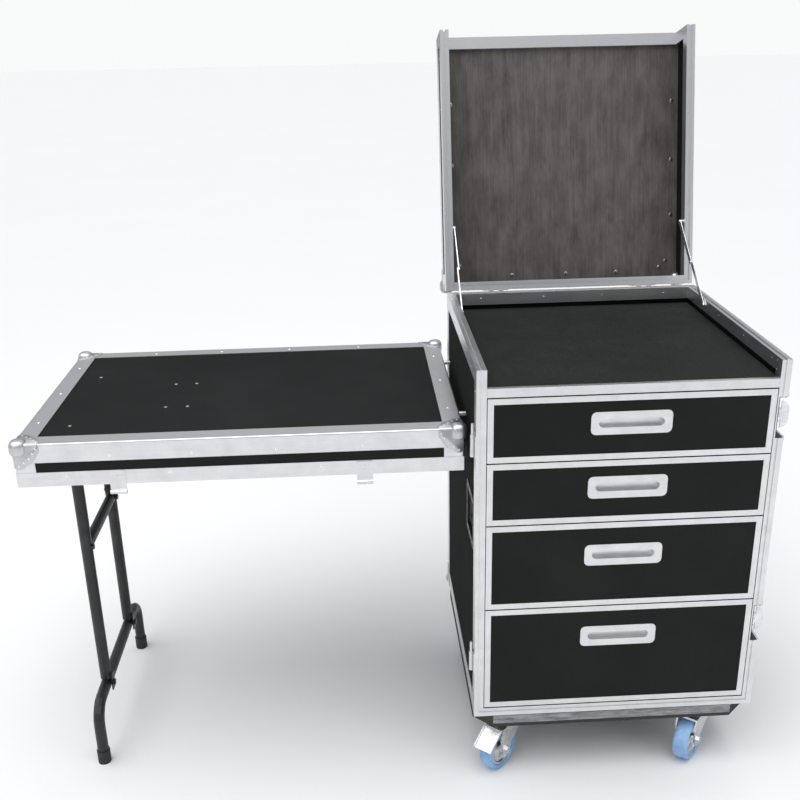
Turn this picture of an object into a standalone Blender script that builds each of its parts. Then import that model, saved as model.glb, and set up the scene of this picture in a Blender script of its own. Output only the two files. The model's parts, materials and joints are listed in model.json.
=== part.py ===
# Tool flight case on castors: four drawers, a lift-up lid, and a front cover that hangs on the left side
# as a table. Metres, +Z up. The case's front-left floor corner is (0, 0, 0) of the case frame, X right,
# Y back; the whole model is then shifted so that its origin is the middle of its footprint.
import math

import bmesh
import bpy
import numpy as np
from mathutils import Matrix, Vector

# Overall sizes
CASE_W = 0.600
CASE_D = 0.600
BODY_H = 0.778          # from the body's lower rim to the top of its walls
LID_DEPTH = 0.105
COVER_T = 0.0905
BOARD_T = 0.0317
COVER_GAP = 0.015       # between the hung cover and the case
COVER_FRONT = 0.072     # how far behind the case's front the hung cover starts
TABLE_DROP = 0.142      # from the top of the walls to the hung table's top
LID_SWING = math.radians(102.9)   # from closed to resting open

# Sheet and extrusions
GAP = 0.0003            # between pieces that touch
ALU_T = 0.0015
PANEL_T = 0.009
FACE_W = 0.020          # closing extrusion, across its face
CLOSING_LEG = 0.030     # its outer leg
INNER_LEG = 0.027
HEAD_T = 0.0055
TONGUE_W = 0.003
TONGUE_H = 0.0025
GROOVE_W = 0.0055
GROOVE_H = 0.0035
ANGLE_LEG = 0.040
ANGLE_R = 0.003
LID_GAP = 0.0006

# Ball corners
BALL_R = 0.0125
BALL_IN = 0.0055
PETAL = 0.050
PETAL_END = 0.016
PETAL_T = 0.0011
PETAL_SINK = 0.0004

# Drawers, top to bottom; the lowest front takes the height that is left
FRONT_HEIGHTS = (0.132, 0.132, 0.1885)
PULL_DROPS = (0.022, 0.022, 0.037, 0.036)   # from the panel's upper edge to the pull
FRONT_GAP = 0.0027
FRONT_SIDE_GAP = 0.0015
FRAME_W = 0.012
FRAME_DEPTH = 0.011
TRAY_LIFT = 0.012
TRAY_LESS = 0.034       # how much lower a tray is than its front
TRAY_BACK_ROOM = 0.080
TRAY_FLOOR = 0.006
PULL_W = 0.158
PULL_H = 0.047
PULL_R = 0.010
PULL_T = 0.0012
SLOT_W = 0.130
SLOT_H = 0.0195
SLOT_DEPTH = 0.0127
CUP_T = 0.0012

# Runners and battens
RUNNER_H = 0.036
RUNNER_T = 0.0012
RUNNER_W = 0.009
RUNNER_PLAY = 0.0006
RUNNER_IN = 0.0008      # from the closing extrusion's inner face
RUNNER_LIFT = 0.0223    # least height above the tray's floor
RUNNER_SHORT = 0.020    # how far a runner ends before the tray does
SLIDE_W = 0.0104
SLIDE_SHORT = 0.030
BATTENS = (0.165, 0.470)    # front faces of the upright battens
BATTEN_W = 0.030

# Deck under the lid
DECK_DROP = 0.037
DECK_RAIL_H = 0.018
DECK_RAIL_T = 0.010
MAT_T = 0.003
MAT_IN = 0.001

# Side handles
HANDLE_Y = 0.095
HANDLE_ABOVE = 0.0055   # above the height half-way between the latches
HANDLE_FLANGE = (0.120, 0.112)
HANDLE_CUP = (0.100, 0.086)
HANDLE_DEPTH = 0.0197
GRIP_R = 0.0065
GRIP_ROD_R = 0.004
GRIP_IN = 0.0095
GRIP_ARM = 0.038
GRIP_TOP = 0.030
GRIP_LOW = 0.022
GRIP_HALF = 0.030
GRIP_BEND = 0.006
HANDLE_ROUND = 0.008

# Butterfly latches on the right side
LATCH_FROM = (0.1165, 0.2025)   # the upper one below the walls' top, the lower one above the body's foot
LATCH_Y = 0.0175
DISH_HALF = 0.0422
DISH_BACK = 0.0472
DISH_DEPTH = 0.0170
DISH_T = 0.0012
LIP = 0.0068
ROTOR_R = 0.015
ROTOR_T = 0.0047
WING_IN = 0.008         # depth of the wing's hinge line below the side's face
WING_LONG = 0.020
WING_HALF = 0.0275
WING_T = 0.002
WING_NECK = 0.0105
WING_BARREL_R = 0.0022
WING_ROUND = 0.0165      # so that the folded wing turns clear of its dish

# Lift-off hinges between the body's left side and the cover
LIFT_FROM = (0.179, 0.111)      # from the same two edges to each hinge's lower end
LIFT_LONG = 0.046
LIFT_PIN = 0.023
LIFT_R = 0.0045
LIFT_PIN_R = 0.0028
LIFT_BORE_R = 0.0032
LIFT_BACK = 0.0145
LIFT_OUT = 0.0055
LIFT_COVER_UP = 0.072   # from the body half's lower end to the cover half's
LIFT_COVER_LONG = 0.032
LEAF_T = 0.0018
LEAF_SINK = 0.0005

# Lid hinges
HINGE_OUT = 0.008
HINGE_DROP = 0.0064
HINGE_R = 0.004
HINGE_PIN_R = 0.0018
HINGE_BORE_R = 0.0022
HINGE_IN = 0.120        # from each side to a hinge's middle
HINGE_LONG = 0.060
KNUCKLES = 5
KNUCKLE_GAP = 0.0006

# Lid stays, two folding links a side
STAY_BODY = (0.461, 0.013)     # y, and depth below the wall top
STAY_LID = (0.1486, 0.0217)    # from the lid's rear face, and above its rim, when closed
STAY_W = 0.012
STAY_T = 0.0018
STAY_IN = 0.0212
STAY_STEP = 0.0028
BOLT_R = 0.005

# Castors
CASTOR_IN = (0.088, 0.068)
CASTOR_TRAIL = 0.046
CASTOR_TURN = (42.0, 40.0, 38.0, 44.0)      # degrees, front-left, front-right, rear-left, rear-right
WHEEL_R = 0.050
WHEEL_HALF = 0.016
HUB_HALF = 0.017
HUB_R = 0.015
TREAD_T = 0.010
WEB_IN = 0.005
WHEEL_STEPS = 22
BORE_R = 0.0054
AXLE_R = 0.005
PLATE_T = 0.004
PLATE_SIZE = (0.095, 0.080)
ARM_IN = 0.020
ARM_T = 0.003
WHEEL_ROOM = 0.023      # from the wheel's top to the underside of the castor board
CROWN_DROP = 0.0195     # from the board's underside to the fork's crown
CROWN_T = 0.0055
FORK_BACK = 0.060
FORK_FRONT = 0.024
ARM_ROUND = 0.014
RACE_R = 0.028
BOARD_IN = 0.002
BOARD_CHAMFER = 0.040
STRIP_H = 0.020
STRIP_T = 0.002
PEDAL_LONG = 0.054
PEDAL_HALF = 0.022
PEDAL_TILT = math.radians(38.0)
PEDAL_AHEAD = 0.024     # how far the pedal reaches in front of the case

# Table leg and brace
PIN_R = 0.005
PIN_YS = (0.125, 0.475)     # from the hung cover's front edge
PIN_DROP = 0.016
PIN_REACH = 0.008
LEG_FROM_END = 0.0736       # from the cover's far end to the leg's pivot
LEG_DROP = 0.036
LEG_Y = 0.273               # from the hung cover's front edge to the leg's middle
LEG_HALF = 0.1285
TUBE_R = 0.0125
TUBE_SIDES = 14
CROSSBAR_DROP = 0.265   # from the leg's pivot
YOKE_Z = 0.140
YOKE_HALF = 0.233
YOKE_BEND = 0.045
FOOT_R = 0.0145
FOOT_LONG = 0.032
LEG_BOLT_R = 0.007
EAR_T = 0.003
EAR_PLAY = 0.0008
AXLE_BAR_R = 0.0055
BRACE_UP = 0.0275           # from the crossbar to the brace's bolt
BRACE_FROM_END = 0.2916     # from the cover's far end to the brace plate
BRACE_DROP = 0.029
BRACE_W = 0.020
BRACE_T = 0.003
BRACE_APART = 0.0010        # between two bars that pass each other
BRACE_HEAD_R = 0.007
BRACE_HEAD_H = 0.003
BRACE_PLATE = (0.070, 0.203)
BOLT_GROUP = (0.023, 0.075)
BOLT_GROUP_OFF = 0.011      # from the brace plate's middle, away from its tab

# Worked out from the sizes above
SKIN = ALU_T + GAP
WEB = SKIN + PANEL_T + GAP
CASTOR_H = 2 * WHEEL_R + WHEEL_ROOM
CROWN_Z = CASTOR_H - CROWN_DROP
BODY_Z = CASTOR_H + BOARD_T + GAP
TOP = BODY_Z + BODY_H
TABLE_TOP = TOP - TABLE_DROP
LATCH_HEIGHTS = (TOP - LATCH_FROM[0], BODY_Z + LATCH_FROM[1])
LIFT_HEIGHTS = (TOP - LIFT_FROM[0], BODY_Z + LIFT_FROM[1])
HANDLE_Z = sum(LATCH_HEIGHTS) / 2 + HANDLE_ABOVE
DECK_TOP = TOP - DECK_DROP
LID_Z = TOP + LID_GAP
LID_TOP = LID_Z + LID_DEPTH
COVER_L = BODY_H + LID_GAP + LID_DEPTH
COVER_R = -COVER_GAP
COVER_X = COVER_R - COVER_L
COVER_Y = COVER_FRONT + CASE_D
RIM_Z = TABLE_TOP - COVER_T
UNDER_PANEL = TABLE_TOP - SKIN - PANEL_T
HINGE_Y = CASE_D + HINGE_OUT
HINGE_Z = TOP - HINGE_DROP
LEG_X = COVER_X + LEG_FROM_END
LEG_Z = TABLE_TOP - LEG_DROP
CROSSBAR_Z = LEG_Z - CROSSBAR_DROP
LEG_MID = COVER_FRONT + LEG_Y

X, Y, Z = Vector((1, 0, 0)), Vector((0, 1, 0)), Vector((0, 0, 1))


def clear_scene():
    for old in list(bpy.data.objects):
        bpy.data.objects.remove(old, do_unlink=True)


def new_collection(name):
    made = bpy.data.collections.new(name)
    bpy.context.scene.collection.children.link(made)
    return made


def new_material(name, color, roughness, metallic=0.0):
    made = bpy.data.materials.new(name)
    made.use_nodes = True
    shader = made.node_tree.nodes["Principled BSDF"]
    shader.inputs["Base Color"].default_value = (*color, 1.0)
    shader.inputs["Roughness"].default_value = roughness
    shader.inputs["Metallic"].default_value = metallic
    return made


clear_scene()
PARTS = new_collection("Tool_Flight_Case")
CUTTERS = new_collection("Cutters")
LAMINATE = new_material("black_laminate", (0.012, 0.013, 0.013), 0.16)
WOOD = new_material("dark_lining", (0.030, 0.027, 0.025), 0.55)
ALUMINIUM = new_material("aluminium", (0.80, 0.81, 0.83), 0.28, 1.0)
STEEL = new_material("zinc_steel", (0.62, 0.64, 0.66), 0.32, 1.0)
BLACK_STEEL = new_material("black_powder_coat", (0.015, 0.015, 0.016), 0.42, 0.3)
MAT = new_material("black_rubber_mat", (0.018, 0.019, 0.019), 0.80)
BLUE = new_material("blue_polyurethane", (0.13, 0.36, 0.72), 0.42)
RUBBER = new_material("black_rubber", (0.02, 0.02, 0.02), 0.65)


def pivot(name, at=(0, 0, 0), turn=(0, 0, 0), under=None):
    empty = bpy.data.objects.new(name, None)
    PARTS.objects.link(empty)
    home = Vector(under["home"]) if under else Vector((0, 0, 0))
    empty.parent = under
    empty.location = Vector(at) - home
    empty.rotation_euler = turn
    empty["home"] = tuple(at)
    return empty


FRAME = pivot("case_frame")


def outward(shape):
    bmesh.ops.recalc_face_normals(shape, faces=shape.faces[:])
    return shape


def block(low, high):
    size = [abs(b - a) for a, b in zip(low, high)]
    middle = [(a + b) / 2 for a, b in zip(low, high)]
    shape = bmesh.new()
    placed = Matrix.Translation(middle) @ Matrix.Diagonal((*size, 1.0))
    bmesh.ops.create_cube(shape, size=1.0, matrix=placed)
    return outward(shape)


def rod(start, end, radius, sides=16):
    start, end = Vector(start), Vector(end)
    along = end - start
    placed = Matrix.Translation((start + end) / 2) @ along.to_track_quat("Z", "Y").to_matrix().to_4x4()
    shape = bmesh.new()
    size = {"radius1": radius, "radius2": radius, "depth": along.length}
    bmesh.ops.create_cone(shape, cap_ends=True, segments=sides, matrix=placed, **size)
    return outward(shape)


def ball(centre, radius):
    shape = bmesh.new()
    bmesh.ops.create_uvsphere(
        shape, u_segments=12, v_segments=7, radius=radius, matrix=Matrix.Translation(centre)
    )
    return outward(shape)


def plate(outline, low, high, axes="xyz"):
    # The outline lies in the first two axes, and the thickness runs from low to high along the third
    order = ["xyz".index(axis) for axis in axes]

    def point(*values):
        placed = [0.0, 0.0, 0.0]
        for axis, value in zip(order, values):
            placed[axis] = value
        return Vector(placed)

    shape = bmesh.new()
    face = shape.faces.new([shape.verts.new(point(a, b, low)) for a, b in outline])
    grown = bmesh.ops.extrude_face_region(shape, geom=[face])["geom"]
    moved = [item for item in grown if isinstance(item, bmesh.types.BMVert)]
    bmesh.ops.translate(shape, verts=moved, vec=point(0, 0, high - low))
    return outward(shape)


def arc(centre, radius, start, end, steps):
    angles = [math.radians(start + (end - start) * i / steps) for i in range(steps + 1)]
    return [(centre[0] + radius * math.cos(a), centre[1] + radius * math.sin(a)) for a in angles]


def rounded(centre, size, radius, steps=3):
    half_a, half_b = size[0] / 2 - radius, size[1] / 2 - radius
    outline = []
    for quarter, (a, b) in enumerate(((1, 1), (-1, 1), (-1, -1), (1, -1))):
        middle = (centre[0] + a * half_a, centre[1] + b * half_b)
        outline += arc(middle, radius, 90 * quarter, 90 * quarter + 90, steps)
    return outline


def slot(centre, length, width, steps=6):
    half = (length - width) / 2
    right = arc((centre[0] + half, centre[1]), width / 2, -90, 90, steps)
    left = arc((centre[0] - half, centre[1]), width / 2, 90, 270, steps)
    return right + left


def link_outline(start, end, width, steps=5):
    # A flat bar with round ends between two pivots
    facing = math.degrees(math.atan2(end[1] - start[1], end[0] - start[0]))
    far = arc(end, width / 2, facing - 90, facing + 90, steps)
    near = arc(start, width / 2, facing + 90, facing + 270, steps)
    return far + near


def sweep(profile, corners, inward, into, closed=False):
    # A mitred extrusion. On the stretch after corner i, the profile's first number runs along inward[i] and
    # its second along into[i]; at a corner both stretches fix the place of each point.
    corners = [Vector(corner) for corner in corners]
    count = len(corners)
    stretches = count if closed else count - 1
    shape = bmesh.new()
    rings = []
    for i, corner in enumerate(corners):
        meet = [(i - 1) % count, i] if closed else [k for k in (i - 1, i) if 0 <= k < stretches]
        ring = []
        for u, v in profile:
            rows = [axis for k in meet for axis in (inward[k], into[k])]
            values = [u, v] * len(meet)
            if len(meet) == 1:
                k = meet[0]
                rows.append((corners[k + 1] - corners[k]).normalized())
                values.append(0.0)
            offset = np.linalg.lstsq(np.array(rows), np.array(values), rcond=None)[0]
            ring.append(shape.verts.new(corner + Vector(offset.tolist())))
        rings.append(ring)
    for i in range(stretches):
        ring, following = rings[i], rings[(i + 1) % count]
        for k in range(len(profile)):
            after = (k + 1) % len(profile)
            shape.faces.new((ring[k], ring[after], following[after], following[k]))
    if not closed:
        shape.faces.new(rings[0])
        shape.faces.new(rings[-1])
    return outward(shape)


def bent(points, radius, steps=4):
    # A route through the points with each inner corner rounded
    points = [Vector(point) for point in points]
    route = [points[0]]
    for before, corner, after in zip(points, points[1:], points[2:]):
        back, ahead = (before - corner).normalized(), (after - corner).normalized()
        half = back.angle(ahead) / 2
        reach = radius / math.tan(half)
        centre = corner + (back + ahead).normalized() * (radius / math.sin(half))
        start, end = corner + back * reach - centre, corner + ahead * reach - centre
        axis = start.cross(end).normalized()
        sweep_angle = start.angle(end)
        for i in range(steps + 1):
            route.append(centre + Matrix.Rotation(sweep_angle * i / steps, 3, axis) @ start)
    route.append(points[-1])
    return route


def tube(route, radius, resolution=3):
    curve = bpy.data.curves.new("route", "CURVE")
    curve.dimensions = "3D"
    curve.bevel_depth = radius
    curve.bevel_resolution = resolution
    curve.use_fill_caps = True
    spline = curve.splines.new("POLY")
    spline.points.add(len(route) - 1)
    for point, place in zip(spline.points, route):
        point.co = (*place, 1.0)
    guide = bpy.data.objects.new("route", curve)
    CUTTERS.objects.link(guide)
    seen = bpy.context.evaluated_depsgraph_get()
    mesh = bpy.data.meshes.new_from_object(guide.evaluated_get(seen))
    shape = bmesh.new()
    shape.from_mesh(mesh)
    bmesh.ops.remove_doubles(shape, verts=shape.verts[:], dist=0.00001)
    bpy.data.objects.remove(guide)
    bpy.data.meshes.remove(mesh)
    return outward(shape)


def merged(shapes):
    whole = bmesh.new()
    for shape in shapes:
        loose = bpy.data.meshes.new("loose")
        shape.to_mesh(loose)
        shape.free()
        whole.from_mesh(loose)
        bpy.data.meshes.remove(loose)
    return whole


def piece(name, base, material, add=(), cut=(), under=None, local=False):
    # Shapes are given in the case frame, or with local=True in the parent's own frame
    carrier = under or FRAME
    shift = Vector((0, 0, 0)) if local else -Vector(carrier["home"])
    mesh = bpy.data.meshes.new(name)
    base.to_mesh(mesh)
    base.free()
    mesh.shade_smooth()
    mesh.set_sharp_from_angle(angle=math.radians(35))
    mesh.materials.append(material)
    made = bpy.data.objects.new(name, mesh)
    PARTS.objects.link(made)
    made.parent = carrier
    made.location = shift
    for operation, shapes in (("UNION", add), ("DIFFERENCE", cut)):
        if not shapes:
            continue
        tool = bpy.data.objects.new(f"{name}_{operation.lower()}", bpy.data.meshes.new(name))
        whole = merged(shapes)
        whole.to_mesh(tool.data)
        whole.free()
        CUTTERS.objects.link(tool)
        tool.parent = carrier
        tool.location = shift
        tool.hide_render = True
        tool.display_type = "WIRE"
        change = made.modifiers.new(operation.lower(), "BOOLEAN")
        change.operation = operation
        change.solver = "EXACT"
        change.use_self = True
        change.object = tool
    return made


def side_x(side, depth):
    # A place on the left (0) or right (1) side, measured inward from its outer face
    return CASE_W - depth if side else depth


def closing_profile(tongue):
    # Outer leg, a face with a tongue or a groove, a web that holds the panel, and an inner leg
    half = FACE_W / 2
    width, rise = (TONGUE_W, -TONGUE_H) if tongue else (GROOVE_W, GROOVE_H)
    return [
        (0, 0), (half - width / 2, 0), (half - width / 2, rise), (half + width / 2, rise),
        (half + width / 2, 0), (FACE_W, 0), (FACE_W, INNER_LEG), (FACE_W - ALU_T, INNER_LEG),
        (FACE_W - ALU_T, HEAD_T), (WEB + ALU_T, HEAD_T), (WEB + ALU_T, INNER_LEG), (WEB, INNER_LEG),
        (WEB, HEAD_T), (ALU_T, HEAD_T), (ALU_T, CLOSING_LEG), (0, CLOSING_LEG),
    ]


def angle_profile():
    corner = arc((ANGLE_R, ANGLE_R), ANGLE_R, 180, 270, 3)
    return corner + [(ANGLE_LEG, 0), (ANGLE_LEG, ALU_T), (ALU_T, ALU_T), (ALU_T, ANGLE_LEG), (0, ANGLE_LEG)]


def closing_loop(rim_z, far_z, tongue):
    # Left, rear and right walls in the rim plane, then down the front plane and across its far edge
    into = Z if far_z > rim_z else -Z
    corners = [
        (0, 0, rim_z), (0, CASE_D, rim_z), (CASE_W, CASE_D, rim_z), (CASE_W, 0, rim_z),
        (CASE_W, 0, far_z), (0, 0, far_z),
    ]
    inward = [X, -Y, -X, -X, -into, X]
    depths = [into, into, into, Y, Y, Y]
    return sweep(closing_profile(tongue), corners, inward, depths, closed=True)


def angle_run(edge_z, into):
    # Along the left, rear and right outer edges of the body or the lid
    front = CLOSING_LEG + GAP
    corners = [(0, front, edge_z), (0, CASE_D, edge_z), (CASE_W, CASE_D, edge_z), (CASE_W, front, edge_z)]
    return sweep(angle_profile(), corners, [X, -Y, -X], [into] * 3)


def upright_angle(corner, inward, into, low, high):
    ends = [(corner[0], corner[1], low), (corner[0], corner[1], high)]
    return sweep(angle_profile(), ends, [inward], [into])


def ball_corner(corner, out, faces="xyz"):
    # A steel ball over the corner, and a riveted petal on each face that it caps
    corner, out = Vector(corner), Vector(out)
    shapes = [ball(corner - out * BALL_IN, BALL_R)]
    for face in faces:
        k = "xyz".index(face)
        first, second = [i for i in range(3) if i != k]
        inner, outer = corner[k] - out[k] * PETAL_SINK, corner[k] + out[k] * PETAL_T
        near = ANGLE_R
        marks = [(near, near), (PETAL, near), (PETAL, PETAL_END), (PETAL_END, PETAL), (near, PETAL)]
        outline = [(corner[first] - out[first] * a, corner[second] - out[second] * b) for a, b in marks]
        plane = "xyz"[first] + "xyz"[second] + face
        shapes.append(plate(outline, min(inner, outer), max(inner, outer), plane))
    return shapes


def inner_space(low, high):
    # What the angles enclose, which trims the balls flush with their inner faces
    inset = ALU_T + GAP / 2
    return block((inset, -0.01, low), (CASE_W - inset, CASE_D - inset, high))


def handle_hole(side):
    half_y, half_z = HANDLE_CUP[0] / 2 + GAP, HANDLE_CUP[1] / 2 + GAP
    return block(
        (side_x(side, -0.01), HANDLE_Y - half_y, HANDLE_Z - half_z),
        (side_x(side, 0.02), HANDLE_Y + half_y, HANDLE_Z + half_z),
    )


def latch_hole(height):
    half = DISH_HALF + GAP
    return block(
        (side_x(1, -0.01), -0.01, height - half),
        (side_x(1, DISH_DEPTH + GAP), DISH_BACK + GAP, height + half),
    )


def pin_route(y, start, end, radius):
    z = TABLE_TOP - PIN_DROP
    return rod((start, COVER_FRONT + y, z), (end, COVER_FRONT + y, z), radius, 12)


def build_shell():
    low, high = BODY_Z + SKIN, TOP - HEAD_T - GAP
    front, back = HEAD_T + GAP, CASE_D - SKIN
    for side, name in enumerate(("left", "right")):
        cuts = [handle_hole(side)]
        if side:
            cuts += [latch_hole(height) for height in LATCH_HEIGHTS]
        else:
            cuts += [pin_route(y, -0.01, 0.02, PIN_R + GAP) for y in PIN_YS]
        slab = block((side_x(side, SKIN), front, low), (side_x(side, SKIN + PANEL_T), back, high))
        piece(f"side_panel_{name}", slab, LAMINATE, cut=cuts)
    piece(
        "back_panel",
        block((WEB, back - PANEL_T, low), (CASE_W - WEB, back, high)),
        LAMINATE,
    )
    floor = block((WEB, front, low), (CASE_W - WEB, back - PANEL_T - GAP, low + PANEL_T))
    piece("bottom_panel", floor, LAMINATE)


def lift_hinge_body(low):
    # The lower half of a lift-off hinge: a leaf on the closing leg, a knuckle and its pin
    middle = (-LIFT_OUT, LIFT_BACK)
    leaf = block((-LEAF_T, GAP, low), (LEAF_SINK, CLOSING_LEG - GAP, low + LIFT_LONG))
    knuckle = rod((*middle, low), (*middle, low + LIFT_LONG), LIFT_R, 14)
    pin = rod((*middle, low + LIFT_LONG - 0.002), (*middle, low + LIFT_LONG + LIFT_PIN), LIFT_PIN_R, 12)
    return [leaf, knuckle, pin]


def hinge_knuckles(middle, own):
    # Knuckle spans of one lid hinge: own is 0 for the body's share and 1 for the lid's
    pitch = HINGE_LONG / KNUCKLES
    spans = []
    for k in range(own, KNUCKLES, 2):
        start = middle - HINGE_LONG / 2 + k * pitch + KNUCKLE_GAP / 2
        spans.append((start, start + pitch - KNUCKLE_GAP))
    return spans


def hinge_middles():
    return HINGE_IN, CASE_W - HINGE_IN


def lid_hinge_body():
    shapes = []
    for middle in hinge_middles():
        low, high = middle - HINGE_LONG / 2, middle + HINGE_LONG / 2
        edge = HINGE_Z - HINGE_R + 0.0004
        leaf_low = (low, CASE_D - LEAF_SINK, TOP - CLOSING_LEG + GAP)
        shapes.append(block(leaf_low, (high, CASE_D + LEAF_T, edge)))
        for start, end in hinge_knuckles(middle, 0):
            shapes.append(rod((start, HINGE_Y, HINGE_Z), (end, HINGE_Y, HINGE_Z), HINGE_R, 12))
            shapes.append(block((start, CASE_D + 0.0008, edge - 0.001), (end, HINGE_Y, HINGE_Z - 0.0012)))
        shapes.append(rod((low, HINGE_Y, HINGE_Z), (high, HINGE_Y, HINGE_Z), HINGE_PIN_R, 10))
    return shapes


def lid_hinge_lid():
    # The lid's share, in the closed pose
    shapes, bores = [], []
    for middle in hinge_middles():
        low, high = middle - HINGE_LONG / 2, middle + HINGE_LONG / 2
        shapes.append(
            block((low, CASE_D - LEAF_SINK, LID_Z + GAP), (high, CASE_D + LEAF_T, LID_Z + CLOSING_LEG - GAP))
        )
        for start, end in hinge_knuckles(middle, 1):
            shapes.append(rod((start, HINGE_Y, HINGE_Z), (end, HINGE_Y, HINGE_Z), HINGE_R, 12))
            web_low = (start, CASE_D + 0.0012, HINGE_Z + 0.001)
            shapes.append(block(web_low, (end, HINGE_Y - 0.0004, LID_Z + 0.003)))
        bores.append(rod((low - 0.01, HINGE_Y, HINGE_Z), (high + 0.01, HINGE_Y, HINGE_Z), HINGE_BORE_R, 10))
    return shapes, bores


def build_body_metal():
    hinges = [shape for low in LIFT_HEIGHTS for shape in lift_hinge_body(low)]
    piece(
        "body_rim",
        closing_loop(TOP, BODY_Z, tongue=True),
        ALUMINIUM,
        add=hinges + lid_hinge_body(),
        cut=[latch_hole(height) for height in LATCH_HEIGHTS],
    )
    low, high = BODY_Z + ANGLE_LEG + GAP, TOP - CLOSING_LEG - GAP
    corners = [
        upright_angle((0, CASE_D), X, -Y, low, high),
        upright_angle((CASE_W, CASE_D), -X, -Y, low, high),
    ]
    corners += ball_corner((0, CASE_D, BODY_Z), (-1, 1, -1), "xy")
    corners += ball_corner((CASE_W, CASE_D, BODY_Z), (1, 1, -1), "xy")
    inside = inner_space(BODY_Z + ALU_T + GAP / 2, TOP)
    piece("body_angles", angle_run(BODY_Z, Z), ALUMINIUM, add=corners, cut=[inside])


def build_deck():
    left, right = FACE_W + GAP, CASE_W - FACE_W - GAP
    back = CASE_D - FACE_W - GAP
    rail = block((left, 0, DECK_TOP - DECK_RAIL_H), (right, DECK_RAIL_T, DECK_TOP))
    piece("deck_rail", rail, ALUMINIUM)
    low = DECK_TOP - MAT_T - GAP
    piece("deck_panel", block((left, DECK_RAIL_T + GAP, low - PANEL_T), (right, back, low)), LAMINATE)
    mat = block(
        (left + MAT_IN, DECK_RAIL_T + GAP + MAT_IN, DECK_TOP - MAT_T),
        (right - MAT_IN, back - MAT_IN, DECK_TOP),
    )
    piece("deck_mat", mat, MAT)


def front_spans():
    # Lower and upper edges of the drawer fronts, top to bottom
    low_limit, high_limit = BODY_Z + FACE_W, DECK_TOP - DECK_RAIL_H
    spans = []
    upper = high_limit - FRONT_GAP
    for height in FRONT_HEIGHTS:
        spans.append((upper - height, upper))
        upper -= height + FRONT_GAP
    spans.append((low_limit + FRONT_GAP, upper))
    return spans


def runner_x():
    return FACE_W + RUNNER_IN


def tray_x():
    return runner_x() + RUNNER_T + RUNNER_PLAY + SLIDE_W


def runner_height(span):
    # A runner sits a third of the way up its tray
    low, high = span
    return low + TRAY_LIFT + max(RUNNER_LIFT, (high - low - TRAY_LESS) / 3)


def build_runners():
    back = CASE_D - TRAY_BACK_ROOM - RUNNER_SHORT
    battens_top = DECK_TOP - MAT_T - PANEL_T - 2 * GAP
    for side, name in enumerate(("left", "right")):
        shapes = []
        for front in BATTENS:
            low = (side_x(side, WEB), front, BODY_Z + SKIN + PANEL_T + GAP)
            high = (side_x(side, runner_x() + 0.0004), front + BATTEN_W, battens_top)
            shapes.append(block(low, high))
        for span in front_spans():
            middle, half = runner_height(span), RUNNER_H / 2
            outer, inner = runner_x(), runner_x() + RUNNER_W
            marks = [
                (outer, -half), (inner, -half), (inner, RUNNER_T - half), (outer + RUNNER_T, RUNNER_T - half),
                (outer + RUNNER_T, half - RUNNER_T), (inner, half - RUNNER_T), (inner, half), (outer, half),
            ]
            outline = [(side_x(side, depth), middle + z) for depth, z in marks]
            shapes.append(plate(outline, CLOSING_LEG + GAP, back, "xzy"))
        base = shapes.pop(0)
        piece(f"runners_{name}", base, STEEL, add=shapes)


def pull_slot(centre, extra, start, end):
    outline = slot(centre, SLOT_W + 2 * extra, SLOT_H + 2 * extra)
    return plate(outline, start, end, "xzy")


def build_drawer(number, span, pull_drop):
    low, high = span
    left, right = FACE_W + FRONT_SIDE_GAP, CASE_W - FACE_W - FRONT_SIDE_GAP
    carrier = pivot(f"drawer_{number}_slide", (CASE_W / 2, 0, (low + high) / 2), under=FRAME)
    corners = [(left, 0, low), (right, 0, low), (right, 0, high), (left, 0, high)]
    trim = [
        (0, 0), (FRAME_W, 0), (FRAME_W, ALU_T), (ALU_T, ALU_T), (ALU_T, FRAME_DEPTH), (0, FRAME_DEPTH)
    ]
    frame = sweep(trim, corners, [Z, -X, -Z, X], [Y] * 4, closed=True)
    piece(f"drawer_{number}_frame", frame, ALUMINIUM, under=carrier)

    panel = block((left + SKIN, SKIN, low + SKIN), (right - SKIN, SKIN + PANEL_T, high - SKIN))
    back = CASE_D - TRAY_BACK_ROOM
    tray_low, tray_high = low + TRAY_LIFT, high - TRAY_LESS + TRAY_LIFT
    tray = block((tray_x(), SKIN + PANEL_T - GAP, tray_low), (CASE_W - tray_x(), back, tray_high))
    hollow = block(
        (tray_x() + PANEL_T, SKIN + 2 * PANEL_T, tray_low + TRAY_FLOOR),
        (CASE_W - tray_x() - PANEL_T, back - PANEL_T, tray_high + 0.05),
    )
    middle, half = runner_height(span), RUNNER_H / 2 - RUNNER_T - RUNNER_PLAY
    slides = [
        block(
            (side_x(side, runner_x() + RUNNER_T + RUNNER_PLAY), CLOSING_LEG + 2 * GAP, middle - half),
            (side_x(side, tray_x() + 0.0005), back - SLIDE_SHORT, middle + half),
        )
        for side in (0, 1)
    ]
    pull_at = (CASE_W / 2, high - FRAME_W - pull_drop - PULL_H / 2)
    hole = pull_slot(pull_at, GAP, -0.01, SLOT_DEPTH + SKIN + 2 * GAP)
    piece(f"drawer_{number}_box", panel, LAMINATE, add=[tray] + slides, cut=[hollow, hole], under=carrier)

    face = plate(rounded(pull_at, (PULL_W, PULL_H), PULL_R), SKIN - GAP - PULL_T, SKIN - GAP, "xzy")
    cup = pull_slot(pull_at, 0, SKIN - GAP - PULL_T / 2, SKIN + SLOT_DEPTH)
    pocket = pull_slot(pull_at, -CUP_T, -0.01, SKIN + SLOT_DEPTH - CUP_T)
    piece(f"drawer_{number}_pull", face, STEEL, add=[cup], cut=[pocket], under=carrier)


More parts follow.
